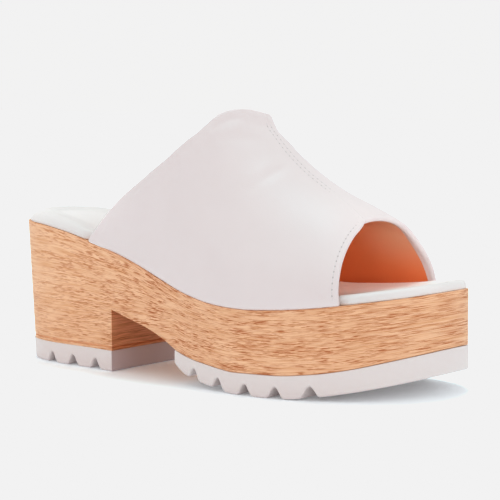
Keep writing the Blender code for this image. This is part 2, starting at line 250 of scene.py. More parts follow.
def spaced(count: int, peaks: tuple[tuple[float, float, float], ...]) -> np.ndarray:
    """Places from 0 to 1, closer together round each peak. Their density is 1 plus a bell for
    each peak, and the places are the equal parts of its running sum.

    Args:
        count: how many places.
        peaks: place, width and height of each bell.

    Returns:
        The places, rising from 0 to 1.
    """
    fine = np.linspace(0, 1, 4001)
    density = np.ones_like(fine)
    for place, width, height in peaks:
        density += height * np.exp(-(((fine - place) / width) ** 2))
    total = np.concatenate([[0], np.cumsum((density[1:] + density[:-1]) / 2)])
    return np.interp(np.linspace(0, total[-1], count), total, fine)


def distance_to(points: np.ndarray, line: np.ndarray) -> tuple[np.ndarray, np.ndarray]:
    """How far points lie from a line of straight pieces, and where along it the nearest place is.

    Args:
        points: the points, in an array of any shape whose last axis is x, y, z.
        line: the corners of the line.

    Returns:
        The distances, and the nearest place as a share of the line's pieces.
    """
    best = np.full(points.shape[:-1], np.inf)
    where = np.zeros(points.shape[:-1])
    pieces = len(line) - 1
    for number in range(pieces):
        start, run = line[number], line[number + 1] - line[number]
        part = np.clip((points - start) @ run / max(run @ run, HAIR**2), 0, 1)
        gap = np.linalg.norm(points - start - part[..., None] * run, axis=-1)
        closer = gap < best
        best = np.where(closer, gap, best)
        where = np.where(closer, (number + part) / pieces, where)
    return best, where


@dataclass
class Patch:
    """A grid of points that is one part of a piece's surface.

    `grain` holds the coordinates in metres that a pattern follows, or else they are the points
    themselves. `material` is the place of its material among the piece's.
    """

    points: np.ndarray
    grain: np.ndarray | None = None
    close_rows: bool = False
    close_columns: bool = False
    material: int = 0

    def quads(self, first: int) -> np.ndarray:
        """Corner numbers of the grid's faces.

        Args:
            first: the number of the grid's first point.

        Returns:
            Four numbers for each face.
        """
        rows, columns = self.points.shape[:2]
        numbers = first + np.arange(rows * columns).reshape(rows, columns)
        if self.close_rows:
            numbers = np.vstack([numbers, numbers[:1]])
        if self.close_columns:
            numbers = np.hstack([numbers, numbers[:, :1]])
        corners = [numbers[:-1, :-1], numbers[:-1, 1:], numbers[1:, 1:], numbers[1:, :-1]]
        return np.stack([c.ravel() for c in corners], axis=1)


def build_piece(name: str, patches: list[Patch], materials: list[bpy.types.Material],
                sharp_degrees: float = 50.0) -> bpy.types.Object:
    """Makes one closed piece from its patches: their shared borders are welded, faces without
    area are removed and all the faces are turned outwards.

    Args:
        name: the piece's name.
        patches: the parts of its surface.
        materials: its materials, in the order of the patches' numbers.
        sharp_degrees: edges that turn by more than this stay sharp.

    Returns:
        The new object, linked to the scene, with its place in its mesh.
    """
    faces, grain, chosen, first = [], [], [], 0
    for patch in patches:
        quads = patch.quads(first)
        faces.append(quads)
        chosen.append(np.full(len(quads), patch.material))
        own = patch.points if patch.grain is None else patch.grain
        grain.append(np.broadcast_to(own, patch.points.shape).reshape(-1, 3))
        first += patch.points.shape[0] * patch.points.shape[1]
    points = np.vstack([patch.points.reshape(-1, 3) for patch in patches])
    corners = np.vstack(faces).ravel()
    mesh = bpy.data.meshes.new(name)
    mesh.vertices.add(len(points))
    mesh.vertices.foreach_set("co", points.astype(np.float32).ravel())
    mesh.loops.add(len(corners))
    mesh.loops.foreach_set("vertex_index", corners.astype(np.int32))
    mesh.polygons.add(len(corners) // 4)
    mesh.polygons.foreach_set("loop_start", np.arange(0, len(corners), 4, dtype=np.int32))
    mesh.polygons.foreach_set("material_index", np.concatenate(chosen).astype(np.int32))
    mesh.update(calc_edges=True)
    layer = mesh.attributes.new("grain", "FLOAT_VECTOR", "CORNER")
    layer.data.foreach_set("vector", np.vstack(grain)[corners].astype(np.float32).ravel())
    work = bmesh.new()
    work.from_mesh(mesh)
    bmesh.ops.remove_doubles(work, verts=work.verts[:], dist=HAIR)
    bmesh.ops.dissolve_degenerate(work, edges=work.edges[:], dist=HAIR)
    bmesh.ops.recalc_face_normals(work, faces=work.faces[:])
    work.to_mesh(mesh)
    work.free()
    for material in materials:
        mesh.materials.append(material)
    mesh.shade_smooth()
    mesh.set_sharp_from_angle(angle=math.radians(sharp_degrees))
    piece = bpy.data.objects.new(name, mesh)
    bpy.context.scene.collection.objects.link(piece)
    return piece


def add_to_shoe(piece: bpy.types.Object, replaced: str | None) -> None:
    """Lets a piece ride on the shoe.

    Args:
        piece: the finished piece.
        replaced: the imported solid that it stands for, if any.
    """
    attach(piece, "root")
    if replaced:
        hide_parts(replaced)
    log.info("%s: %d faces", piece.name, len(piece.data.polygons))


def linear(hex_colour: str) -> tuple[float, float, float, float]:
    """Turns an sRGB colour to linear: low shares by a straight line, others by a power.

    Args:
        hex_colour: six hex digits.

    Returns:
        Linear red, green and blue, and a full alpha.
    """
    shares = [int(hex_colour[i : i + 2], 16) / 255 for i in (0, 2, 4)]
    red, green, blue = [s / 12.92 if s <= 0.04045 else ((s + 0.055) / 1.055) ** 2.4 for s in shares]
    return red, green, blue, 1.0


def set_node(tree: bpy.types.NodeTree, node: bpy.types.Node, settings: dict | None,
             links: dict | None) -> None:
    """Gives a shader node its settings and links.

    Args:
        tree: the material's node tree.
        node: the node.
        settings: values for properties, or for input sockets by name or number.
        links: the output socket that feeds each input socket, by name or number.
    """
    for key, value in (settings or {}).items():
        if isinstance(key, str) and hasattr(node, key):
            setattr(node, key, value)
        else:
            node.inputs[key].default_value = value
    for key, socket in (links or {}).items():
        tree.links.new(socket, node.inputs[key])


def add_node(tree: bpy.types.NodeTree, kind: str, settings: dict | None = None,
             links: dict | None = None) -> bpy.types.Node:
    """Adds a shader node with its settings and links.

    Args:
        tree: the material's node tree.
        kind: the node's type name without "ShaderNode".
        settings: as in set_node.
        links: as in set_node.

    Returns:
        The new node.
    """
    node = tree.nodes.new("ShaderNode" + kind)
    set_node(tree, node, settings, links)
    return node


def new_material(name: str) -> tuple[bpy.types.Material, bpy.types.NodeTree, bpy.types.Node]:
    """Makes a node material.

    Args:
        name: the material's name.

    Returns:
        The material, its tree and its shader.
    """
    material = bpy.data.materials.new(name)
    material.use_nodes = True
    tree = material.node_tree
    return material, tree, tree.nodes["Principled BSDF"]


@dataclass(frozen=True)
class SmoothLeather:
    """Full-grain cow leather with a thin pigmented finish: almost even in colour, with a very
    fine pebbled grain and a soft, broad shine."""

    name: str = "smooth_leather"
    colour: str = "EADFDE"
    shade: str = "E9DEDD"
    roughness: float = 0.52
    duller: float = 0.06
    glossier: float = 0.04
    grain_size: float = 0.7 * MM
    grain_depth: float = 0.15 * MM
    cloud_size: float = 22 * MM
    cloud_range: tuple[float, float] = (0.35, 0.65)

    def material(self) -> bpy.types.Material:
        """Makes the leather on object coordinates: scattered cells and a coarser mottle are its
        grain, the mottle shifts its gloss, and large clouds blend its two colours.

        Returns:
            The material.
        """
        material, tree, shader = new_material(self.name)
        place = add_node(tree, "TexCoord").outputs["Object"]
        clouds = add_node(tree, "TexNoise", {"Scale": 1 / self.cloud_size, "Detail": 2.0},
                          {"Vector": place})
        low, high = self.cloud_range
        tint = add_node(tree, "MapRange", {"From Min": low, "From Max": high},
                        {"Value": clouds.outputs["Fac"]})
        colour = add_node(tree, "Mix", {
            "data_type": "RGBA", 6: linear(self.colour), 7: linear(self.shade),
        }, {0: tint.outputs["Result"]})
        pores = add_node(tree, "TexVoronoi", {"Scale": 1 / self.grain_size}, {"Vector": place})
        mottle = add_node(tree, "TexNoise", {"Scale": 1 / (4 * self.grain_size), "Detail": 3.0},
                          {"Vector": place})
        relief = add_node(tree, "Math", {"operation": "ADD"},
                          {0: pores.outputs["Distance"], 1: mottle.outputs["Fac"]})
        bump = add_node(tree, "Bump", {"Strength": 0.10, "Distance": self.grain_depth},
                        {"Height": relief.outputs["Value"]})
        gloss = add_node(tree, "MapRange", {
            "To Min": self.roughness - self.glossier, "To Max": self.roughness + self.duller,
        }, {"Value": mottle.outputs["Fac"]})
        set_node(tree, shader, {"IOR": 1.48}, {
            "Base Color": colour.outputs[2],
            "Roughness": gloss.outputs["Result"],
            "Normal": bump.outputs["Normal"],
        })
        return material


@dataclass(frozen=True)
class LiningSuede:
    """Dyed pigskin lining, flesh side lightly buffed: a matt, warm orange with small pores and a
    faint sheen from its short fibres. Its colour is painted paler up towards the toe opening,
    where more light comes in: painted light."""

    name: str = "dyed_lining_leather"
    deep: str = "F09C6C"
    # Painted light: the paler colour towards the toe opening, where more light comes in.
    pale: str = "FACDAF"
    pore_size: float = 1.1 * MM
    pore_depth: float = 0.12 * MM
    pale_from: tuple[float, float] = (0.035, 0.047)
    pale_to: tuple[float, float] = (0.076, 0.071)

    def material(self) -> bpy.types.Material:
        """Makes the lining on object coordinates: its share of painted light, paler towards the toe
        opening, is a soft step in x times one in z.

        Returns:
            The material.
        """
        material, tree, shader = new_material(self.name)
        place = add_node(tree, "TexCoord").outputs["Object"]
        parts = add_node(tree, "SeparateXYZ", None, {"Vector": place})
        forward, up = (add_node(tree, "MapRange", {
            "interpolation_type": "SMOOTHSTEP", "From Min": low, "From Max": high,
        }, {"Value": parts.outputs[axis]}).outputs["Result"]
            for axis, low, high in zip("XZ", self.pale_from, self.pale_to))
        # Share of painted light: paler forward and up, towards the toe opening.
        painted_light_share = add_node(tree, "Math", {"operation": "MULTIPLY"}, {0: forward, 1: up})
        colour = add_node(tree, "Mix", {
            "data_type": "RGBA", 6: linear(self.deep), 7: linear(self.pale),
        }, {0: painted_light_share.outputs["Value"]})
        pores = add_node(tree, "TexVoronoi", {"Scale": 1 / self.pore_size}, {"Vector": place})
        bump = add_node(tree, "Bump", {"Strength": 0.2, "Distance": self.pore_depth},
                        {"Height": pores.outputs["Distance"]})
        set_node(tree, shader, {
            "Roughness": 0.82, "Sheen Weight": 0.12, "Sheen Roughness": 0.5,
        }, {"Base Color": colour.outputs[2], "Normal": bump.outputs["Normal"]})
        return material


@dataclass(frozen=True)
class Streaks:
    """One layer of a wood print: noise drawn out along the grain, which gives 0 under `low` and 1
    above `high`. Its spots have the length and height given, and `shift` picks them."""

    length: float
    height: float
    low: float
    high: float
    shift: float

    def pattern(self, tree: bpy.types.NodeTree, grain: bpy.types.NodeSocket) -> bpy.types.NodeSocket:
        """Makes the layer's pattern.

        Args:
            tree: the material's node tree.
            grain: the coordinates of the grain, x along it and z across.

        Returns:
            The pattern's output socket, from 0 to 1.
        """
        place = add_node(tree, "Mapping", {
            "Scale": (1 / self.length, 1 / (3 * self.length), 1 / self.height),
            "Location": (self.shift, self.shift, self.shift),
        }, {"Vector": grain})
        noise = add_node(tree, "TexNoise", {"Scale": 1.0, "Detail": 1.5},
                         {"Vector": place.outputs["Vector"]})
        return add_node(tree, "MapRange", {
            "interpolation_type": "SMOOTHSTEP", "From Min": self.low, "From Max": self.high,
        }, {"Value": noise.outputs["Fac"]}).outputs["Result"]


@dataclass(frozen=True)
class WoodFilm:
    """PVC film printed and embossed as light oak, wrapped round the platform: tan with faint
    fibres and short dark pores in lines that follow the sole, with a satin surface. The pores
    crowd in spots and thin out towards the back of the heel."""

    name: str = "printed_wood_film"
    light: str = "F6CFB1"
    tan: str = "F2C9AA"
    pore: str = "C67F52"
    fibre: str = "E2AD82"
    ground: Streaks = Streaks(30 * MM, 5 * MM, 0.35, 0.65, 5.3)
    fibres: Streaks = Streaks(18 * MM, 0.45 * MM, 0.42, 0.66, 7.7)
    spots: Streaks = Streaks(11 * MM, 2.6 * MM, 0.28, 0.60, 1.9)
    dashes: Streaks = Streaks(4.6 * MM, 0.30 * MM, 0.51, 0.60, 3.1)
    strokes: Streaks = Streaks(10 * MM, 0.36 * MM, 0.55, 0.65, 9.2)
    fibre_strength: float = 0.55
    dash_strength: float = 0.92
    stroke_strength: float = 0.65
    thin_end: float = -100 * MM
    full_start: float = -30 * MM
    thin_share: float = 0.35
    pore_depth: float = 0.12 * MM

    def material(self) -> bpy.types.Material:
        """Makes the film on the platform's own grain coordinates: each layer's pattern, times its
        strength and for pores times their crowding, lays its colour over the ones before.

        Returns:
            The material.
        """
        material, tree, shader = new_material(self.name)
        grain = add_node(tree, "Attribute", {"attribute_name": "grain"}).outputs["Vector"]
        parts = add_node(tree, "SeparateXYZ", None, {"Vector": grain})
        forward = add_node(tree, "MapRange", {
            "From Min": self.thin_end, "From Max": self.full_start, "To Min": self.thin_share,
        }, {"Value": parts.outputs["X"]})
        crowd = add_node(tree, "Math", {"operation": "MULTIPLY"}, {
            0: self.spots.pattern(tree, grain), 1: forward.outputs["Result"],
        }).outputs["Value"]
        dashes = self.dashes.pattern(tree, grain)
        links = {}
        for pattern, crowding, strength, tint in (
            (self.ground.pattern(tree, grain), None, 1.0, self.tan),
            (self.fibres.pattern(tree, grain), None, self.fibre_strength, self.fibre),
            (dashes, crowd, self.dash_strength, self.pore),
            (self.strokes.pattern(tree, grain), crowd, self.stroke_strength, self.pore),
        ):
            if crowding:
                pattern = add_node(tree, "Math", {"operation": "MULTIPLY"},
                                   {0: pattern, 1: crowding}).outputs["Value"]
            share = add_node(tree, "Math", {"operation": "MULTIPLY", 1: strength}, {0: pattern})
            colour = add_node(tree, "Mix", {
                "data_type": "RGBA", 6: linear(self.light), 7: linear(tint),
            }, {0: share.outputs["Value"], **links}).outputs[2]
            links = {6: colour}
        bump = add_node(tree, "Bump", {
            "Strength": 0.35, "Distance": self.pore_depth, "invert": True,
        }, {"Height": dashes})
        set_node(tree, shader, {"Roughness": 0.48, "IOR": 1.5},
                 {"Base Color": colour, "Normal": bump.outputs["Normal"]})
        return material


@dataclass(frozen=True)
class MouldedRubber:
    """Moulded thermoplastic rubber: pinkish grey all through, matt, with a faint lay of fine
    level lines from the mould."""

    name: str = "moulded_rubber"
    colour: str = "E9DFDD"
    line_length: float = 14 * MM
    line_height: float = 0.8 * MM
    line_share: float = 0.6
    fleck_size: float = 0.6 * MM
    relief_depth: float = 0.15 * MM

    def material(self) -> bpy.types.Material:
        """Makes the rubber on object coordinates: drawn-out noise and fine flecks are added up
        as its relief.

        Returns:
            The material.
        """
        material, tree, shader = new_material(self.name)
        place = add_node(tree, "TexCoord").outputs["Object"]
        drawn = add_node(tree, "Mapping", {
            "Scale": (1 / self.line_length, 1 / self.line_length, 1 / self.line_height),
        }, {"Vector": place})
        lines = add_node(tree, "TexNoise", {"Scale": 1.0, "Detail": 2.0},
                         {"Vector": drawn.outputs["Vector"]})
        flecks = add_node(tree, "TexNoise", {"Scale": 1 / self.fleck_size, "Detail": 2.0},
                          {"Vector": place})
        relief = add_node(tree, "Math", {"operation": "MULTIPLY_ADD", 1: self.line_share},
                          {0: lines.outputs["Fac"], 2: flecks.outputs["Fac"]})
        bump = add_node(tree, "Bump", {"Strength": 0.12, "Distance": self.relief_depth},
                        {"Height": relief.outputs["Value"]})
        set_node(tree, shader, {
            "Base Color": linear(self.colour), "Roughness": 0.58, "IOR": 1.5,
        }, {"Normal": bump.outputs["Normal"]})
        return material


@dataclass(frozen=True)
class WaxedThread:
    """Twisted nylon thread with a little wax, matt and slightly greyer than the leather that it
    sits in."""

    name: str = "sewing_thread"
    colour: str = "E2DADA"
    roughness: float = 0.6
    twist_length: float = 2.4 * MM
    twist_depth: float = 0.08 * MM

    def material(self) -> bpy.types.Material:
        """Makes the thread, its twist as a fine slanting bump.

        Returns:
            The material.
        """
        material, tree, shader = new_material(self.name)
        place = add_node(tree, "TexCoord").outputs["Object"]
        twist = add_node(tree, "TexWave", {
            "Scale": 1 / self.twist_length, "bands_direction": "DIAGONAL",
        }, {"Vector": place})
        bump = add_node(tree, "Bump", {"Strength": 0.3, "Distance": self.twist_depth},
                        {"Height": twist.outputs["Fac"]})
        set_node(tree, shader, {"Base Color": linear(self.colour), "Roughness": self.roughness},
                 {"Normal": bump.outputs["Normal"]})
        return material


@dataclass(frozen=True)
class SoleForm:
    """The sole's outline and heights, worked out from its sizes and the tables above."""

    length: float
    ball_width: float = 0.095
    heel_height: float = 0.0700
    ball_height: float = 0.0390
    toe_height: float = 0.0477
    tread_thickness: float = 0.0100
    toe_spring: float = 0.0106
    back_roll: float = 0.0092
    arch_height: float = 0.0303
    heel_length: float = 0.0755
    arch_length: float = 0.0479
    heel_setback: float = 0.0039
    joint_gap: float = 0.0003

    @property
    def breast(self) -> float:
        """Length share of the heel's front face."""
        return self.heel_length / self.length

    @property
    def arch_foot(self) -> float:
        """Length share where the forefoot tread starts."""
        return (self.heel_length + self.arch_length) / self.length

    def x_of(self, share: np.ndarray) -> np.ndarray:
        """x of a length share."""
        return (np.asarray(share, float) - 0.5) * self.length

    def share_of(self, x: np.ndarray) -> np.ndarray:
        """Length share of x."""
        return np.asarray(x, float) / self.length + 0.5

    def side(self, shares: np.ndarray, column: int) -> np.ndarray:
        """y of the outline on the outer side (1) or the inner side (2)."""
        return smooth(OUTLINE, column, shares, rounded=True) * self.ball_width / 2

    def top(self, x: np.ndarray) -> np.ndarray:
        """Height of the platform's top: the ball's height, and the rises to heel and toe.

        Args:
            x: places along the shoe.

        Returns:
            The heights there.
        """
        share = self.share_of(x)
        heel_rise = smooth(TOP_LINE, 1, share) * (self.heel_height - self.ball_height)
        toe_rise = smooth(TOP_LINE, 2, share) * (self.toe_height - self.ball_height)
        return self.ball_height + heel_rise + toe_rise

    def tread_share(self, x: np.ndarray) -> np.ndarray:
        """How far along the forefoot tread x is."""
        return (self.share_of(x) - self.arch_foot) / (1 - self.arch_foot)

    def tread_bottom(self, x: np.ndarray) -> np.ndarray:
        """Height of the forefoot tread's underside: its roll at the back and its toe spring.

        Args:
            x: places along the shoe.

        Returns:
            The heights there.
        """
        share = self.tread_share(x)
        roll = smooth(FORE_TREAD, 1, share) * self.back_roll
        return roll + smooth(FORE_TREAD, 2, share) * self.toe_spring

    def joint(self, x: np.ndarray) -> np.ndarray:
        """Height of the joint between treads and platform: level over the heel, straight under
        the arch, and in front the tread's thickness above its underside.

        Args:
            x: places along the shoe.

        Returns:
            The heights there.
        """
        share = self.share_of(x)
        fore = self.tread_bottom(x)
        fore = fore + smooth(FORE_TREAD, 3, self.tread_share(x)) * self.tread_thickness
        start = float(self.tread_bottom(self.x_of(self.arch_foot)))
        start += FORE_TREAD[0][3] * self.tread_thickness
        way = np.clip((share - self.breast) / (self.arch_foot - self.breast), 0, 1)
        behind = self.tread_thickness + (start - self.tread_thickness) * way
        return np.where(share < self.arch_foot, behind, fore)

    def arch(self, x: np.ndarray) -> np.ndarray:
        """Height of the platform's underside: along the arch's line from the breast to the
        forefoot tread, level behind it and on the joint in front.

        Args:
            x: places along the shoe.

        Returns:
            The heights there.
        """
        foot = float(self.joint(self.x_of(self.arch_foot) + HAIR)) + self.joint_gap
        way = (self.share_of(x) - self.breast) / (self.arch_foot - self.breast)
        under = foot + (self.arch_height - foot) * smooth(ARCH_LINE, 1, way)
        return np.where(way < 1, under, self.joint(x) + self.joint_gap)

    def lean(self, x: np.ndarray, depth: np.ndarray) -> np.ndarray:
        """Inset of the side: it grows evenly with the depth, most at the heel's back, and fades
        by a square towards the forefoot.

        Args:
            x: places along the shoe.
            depth: depth under the platform's top.

        Returns:
            The insets.
        """
        share = np.clip(self.share_of(x), 0, 1)
        fade = np.clip(1 - share / self.arch_foot, 0, 1)
        return self.heel_setback / self.heel_height * fade * fade * depth

    def stations(self, start: float, end: float, count: int) -> np.ndarray:
        """Length shares from start to end at even angles of a half circle over the length, and
        so closer together at its ends, where the outline turns.

        Args:
            start: the first share.
            end: the last share.
            count: how many.

        Returns:
            The shares.
        """
        angles = np.linspace(round_way(start), round_way(end), count)
        return (1 - np.cos(angles)) / 2

    def rim(self, shares: np.ndarray, inset: np.ndarray, end_inset: float = 0.0) -> np.ndarray:
        """The outline at the stations, first forward along the outer side and then back along
        the inner side, moved inwards at right angles to itself. Its direction is the run between
        two places a small step before and after each station.

        Args:
            shares: the stations as length shares, from back to front.
            inset: one distance, or one for each point of the outline.
            end_inset: how far an end that is cut straight across moves inwards.

        Returns:
            x and y of twice as many points as stations.
        """
        angles = round_way(shares)
        before = (1 - np.cos(np.clip(angles - STEP, 0, np.pi))) / 2
        after = (1 - np.cos(np.clip(angles + STEP, 0, np.pi))) / 2
        run = (after - before) * self.length
        halves, inwards = [], []
        for column, turn in ((1, 1), (2, -1)):
            rise = self.side(after, column) - self.side(before, column)
            inward = unit(np.stack([-rise, run], axis=1) * turn)
            for end, is_round in ((0, shares[0] <= 0), (-1, shares[-1] >= 1)):
                if not is_round:
                    inward[end] = (0, turn)
            halves.append(np.stack([self.x_of(shares), self.side(shares, column)], axis=1))
            inwards.append(inward)
        points = np.vstack([halves[0], halves[1][::-1]])
        inward = np.vstack([inwards[0], inwards[1][::-1]])
        points = points + inward * np.reshape(inset, (-1, 1))
        half = len(shares)
        if shares[0] > 0:
            points[[0, -1], 0] += end_inset
        if shares[-1] < 1:
            points[[half - 1, half], 0] -= end_inset
        return points

    def sheet_across(self, rim: np.ndarray, across: int) -> np.ndarray:
        """A grid over the sole between the two sides of a rim: a row for each station.

        Args:
            rim: x, y, z of the rim's points, as rim() orders them.
            across: how many points from side to side.

        Returns:
            The grid's points, straight from side to side.
        """
        half = len(rim) // 2
        outer, inner = rim[:half], rim[half:][::-1]
        part = np.linspace(0, 1, across)[None, :, None]
        return outer[:, None] * (1 - part) + inner[:, None] * part


@dataclass(frozen=True)
class Crease:
    """A soft trough in the leather, or a ridge where its depth is negative, along a straight way
    over the unrolled vamp, given as (along, way). Its depth falls off sideways by e to the minus
    square of distance over width, and towards both ends by a power of a half circle's sine."""

    start: tuple[float, float]
    end: tuple[float, float]
    width: float
    depth: float


@dataclass(frozen=True)
class Bell:
    """A soft round rise, or a hollow where its height is negative: its height times e to the
    minus square of distance over width."""

    height: float
    width: float

    def at(self, distance: np.ndarray) -> np.ndarray:
        """How far it stands out at a distance from its middle."""
        return self.height * np.exp(-((distance / self.width) ** 2))


@dataclass(frozen=True)
class Bead:
    """What sits in the leather at each stitch or needle hole: a small drawn-out bead, the share
    of a pitch before the first one, and the depth of its middle under the leather's face."""

    length: float
    width: float
    phase: float
    sink: float


@dataclass
class Vamp:
    """The upper: leather with turned edges, its lining, the centre seam and the stitches.

    Pairs named `..._ends` are where a soft step starts and ends, and those named `..._span` where
    a sewing line does. Rolls are the thicker turned edges, the ripple is what the collar's sewing
    leaves, and its slant is in radians a metre of height. Grids are rows by columns.
    """

    sole: SoleForm
    instep_rise: float = 0.0850
    wall: float = 2.0 * MM
    inset: float = 0.4 * MM
    foot_drop: float = 0.33 * MM
    foot_drop_ends: tuple[float, float] = (0.3 * MM, 2.5 * MM)
    foot_round: float = 0.8 * MM
    foot_tuck: float = 0.5 * MM
    foot_corner: Bell = Bell(0.9 * MM, 4.5 * MM)
    foot_corner_span: tuple[float, float] = (0.02, 0.05)
    collar_ease: float = 2.8 * MM
    opening_ease: float = 0.8 * MM
    fold_width: float = 3.3 * MM
    fold_step: float = 0.3 * MM
    opening_roll: float = 0.08 * MM
    opening_roll_ends: tuple[float, float] = (3.4 * MM, 4.6 * MM)
    collar_roll: float = 0.12 * MM
    collar_roll_ends: tuple[float, float] = (3.0 * MM, 5.0 * MM)
    ripple_height: float = 0.14 * MM
    ripple_run: float = 9.0 * MM
    ripple_fade: float = 14.0 * MM
    ripple_slant: float = 95.0
    ripple_ends: tuple[float, float] = (0.02, 0.10)
    lining_depth: float = 1.2 * MM
    lining_overlap: float = 0.5 * MM
    lining_gap: float = 0.1 * MM
    lining_proud: float = 0.06 * MM
    leather_grid: tuple[int, int] = (150, 200)
    lining_grid: tuple[int, int] = (90, 110)
    seam_valley: Bell = Bell(-0.12 * MM, 0.36 * MM)
    seam_row_offset: float = 1.4 * MM
    seam_row_dent: Bell = Bell(-0.05 * MM, 0.30 * MM)
    seam_row_span: tuple[float, float] = (0.035, 0.985)
    topstitch_inset: float = 2.8 * MM
    topstitch_dent: Bell = Bell(-0.06 * MM, 0.40 * MM)
    topstitch_span: tuple[float, float] = (0.006, 0.994)
    stitch_pitch: float = 2.9 * MM
    stitch: Bead = Bead(2.0 * MM, 0.40 * MM, 0.0, 0.04 * MM)
    needle_hole: Bead = Bead(1.10 * MM, 0.80 * MM, 0.5, 0.13 * MM)
    bead_height_share: float = 0.30
    bead_fullness: float = 0.6
    pull_depth: float = 0.10 * MM
    seam_pull_ends: tuple[float, float] = (0.58, 0.70)
    topstitch_start: float = 0.96
    topstitch_pull_ends: tuple[float, float] = (0.34, 0.44)
    edge_crowding: float = 0.45
    crease_fade: float = 0.7
    creases: tuple[Crease, ...] = (
        Crease((0.036, 0.290), (0.050, 0.420), 3.2 * MM, 0.70 * MM),
        Crease((0.105, 0.290), (0.175, 0.440), 4.5 * MM, 0.55 * MM),
        Crease((0.385, 0.275), (0.375, 0.445), 2.8 * MM, 0.42 * MM),
        Crease((0.330, 0.280), (0.320, 0.430), 3.5 * MM, -0.20 * MM),
        Crease((0.425, 0.285), (0.420, 0.400), 2.8 * MM, -0.12 * MM),
        Crease((-0.010, 0.170), (0.110, 0.168), 3.0 * MM, 0.45 * MM),
        Crease((-0.010, 0.125), (0.090, 0.125), 3.0 * MM, -0.25 * MM),
        Crease((-0.010, 0.235), (0.080, 0.240), 3.0 * MM, -0.20 * MM),
        Crease((0.080, 0.380), (0.085, 0.680), 5.0 * MM, 1.10 * MM),
        Crease((1.000, 0.560), (1.000, 1.050), 8.0 * MM, -1.50 * MM),
        Crease((-0.050, 0.105), (1.050, 0.130), 9.0 * MM, -0.55 * MM),
        Crease((0.180, 0.620), (0.300, 0.700), 5.0 * MM, 0.45 * MM),
        Crease((0.020, 0.800), (0.160, 0.790), 4.0 * MM, 0.40 * MM),
    )

    def section_point(self, share: np.ndarray, way: np.ndarray) -> np.ndarray:
        """A point of the last's surface. On each side a section is one cubic curve: it starts at
        the sole's rim, leans in while it rises by the wall's fullness, and comes level to the
        instep line from the crown's fullness.

        Args:
            share: length share.
            way: way round the section, from 0 at the outer foot over 0.5 to 1 at the inner foot.

        Returns:
            x, y, z along the last axis.
        """
        sole = self.sole
        outer_side = way <= 0.5
        foot = np.where(outer_side, sole.side(share, 1) + self.inset,
                        sole.side(share, 2) - self.inset)
        rise = smooth(SECTIONS, 1, share) * self.instep_rise
        ridge_y = smooth(SECTIONS, 2, share) * sole.ball_width / 2
        lean = smooth(SECTIONS, 3, share)
        wall = np.where(outer_side, smooth(SECTIONS, 4, share), smooth(SECTIONS, 5, share))
        crown = np.where(outer_side, smooth(SECTIONS, 6, share), smooth(SECTIONS, 7, share))
        t = 1 - np.abs(2 * way - 1)
        first, second, last = 3 * (1 - t) ** 2 * t, 3 * (1 - t) * t**2, t**3
        y = foot + (ridge_y - foot) * (first * lean + second * (1 - crown) + last)
        x = sole.x_of(share)
        z = sole.top(x) + sole.joint_gap + rise * (first * wall + second + last)
        return np.stack(np.broadcast_arrays(x, y, z), axis=-1)

    def point(self, along: np.ndarray, way: np.ndarray) -> np.ndarray:
        """A point of the leather's plain outer face. The seam draws the collar in and the opening
        back by the shares of EDGE_EASE, and the foot sinks a little onto the sole.

        Args:
            along: share of the way from the collar (0) to the toe opening (1).
            way: way round the section.

        Returns:
            x, y, z along the last axis.
        """
        along, way = np.broadcast_arrays(np.asarray(along, float), np.asarray(way, float))
        collar = smooth(LEATHER_EDGES, 1, way)
        opening = smooth(LEATHER_EDGES, 2, way)
        collar = collar + smooth(EDGE_EASE, 1, way) * self.collar_ease / self.sole.length
        opening = opening - smooth(EDGE_EASE, 2, way) * self.opening_ease / self.sole.length
        points = self.section_point(collar + (opening - collar) * along, way)
        foot = points[..., 2] - self.sole.top(points[..., 0])
        points[..., 2] -= self.foot_drop * (1 - soft_step(foot, *self.foot_drop_ends))
        return points

    def slopes(self, along: np.ndarray, way: np.ndarray) -> tuple[np.ndarray, np.ndarray]:
        """How the outer face runs: the difference between two points a small step before and
        after, over twice the step.

        Args:
            along: share of the way from the collar to the toe opening.
            way: way round the section.

        Returns:
            The run by `along` and the run by `way`.
        """
        way = np.clip(way, STEP, 1 - STEP)
        by_along = self.point(along + STEP, way) - self.point(along - STEP, way)
        by_way = self.point(along, way + STEP) - self.point(along, way - STEP)
        return by_along / (2 * STEP), by_way / (2 * STEP)

    def normal(self, along: np.ndarray, way: np.ndarray) -> np.ndarray:
        """Unit normals of the outer face, pointing out of the shoe."""
        by_along, by_way = self.slopes(along, np.clip(way, 10 * STEP, 1 - 10 * STEP))
        return unit(np.cross(by_along, by_way))

    def off_edge(self, edge: float, way: np.ndarray) -> np.ndarray:
        """How the outer face runs by `along` at one of its edges, less what runs with that edge.

        Args:
            edge: 0 for the collar, 1 for the toe opening.
            way: ways round the section.

        Returns:
            The run at right angles to the edge.
        """
        by_along, by_way = self.slopes(np.full_like(way, edge), way)
        tangent = unit(by_way)
        return by_along - (by_along * tangent).sum(-1, keepdims=True) * tangent

    def edge_gaps(self, points: np.ndarray) -> tuple[np.ndarray, np.ndarray]:
        """Distances of points from both edges, each drawn as 80 straight pieces.

        Args:
            points: points near the outer face.

        Returns:
            The distances from the collar and from the toe opening.
        """
        ways = np.linspace(0, 1, 81)
        collar, _ = distance_to(points, self.point(0.0, ways))
        opening, _ = distance_to(points, self.point(1.0, ways))
        return collar, opening

    def seam_way(self, along: np.ndarray) -> np.ndarray:
        """Way round the section of the centre seam."""
        return smooth(SEAM_LINE, 1, along)

    def way_of(self, along: np.ndarray, column: np.ndarray) -> np.ndarray:
        """Way round the section of a grid column, whose middle follows the seam."""
        seam = self.seam_way(along)
        return np.where(column < 0.5, 2 * column * seam, seam + (2 * column - 1) * (1 - seam))

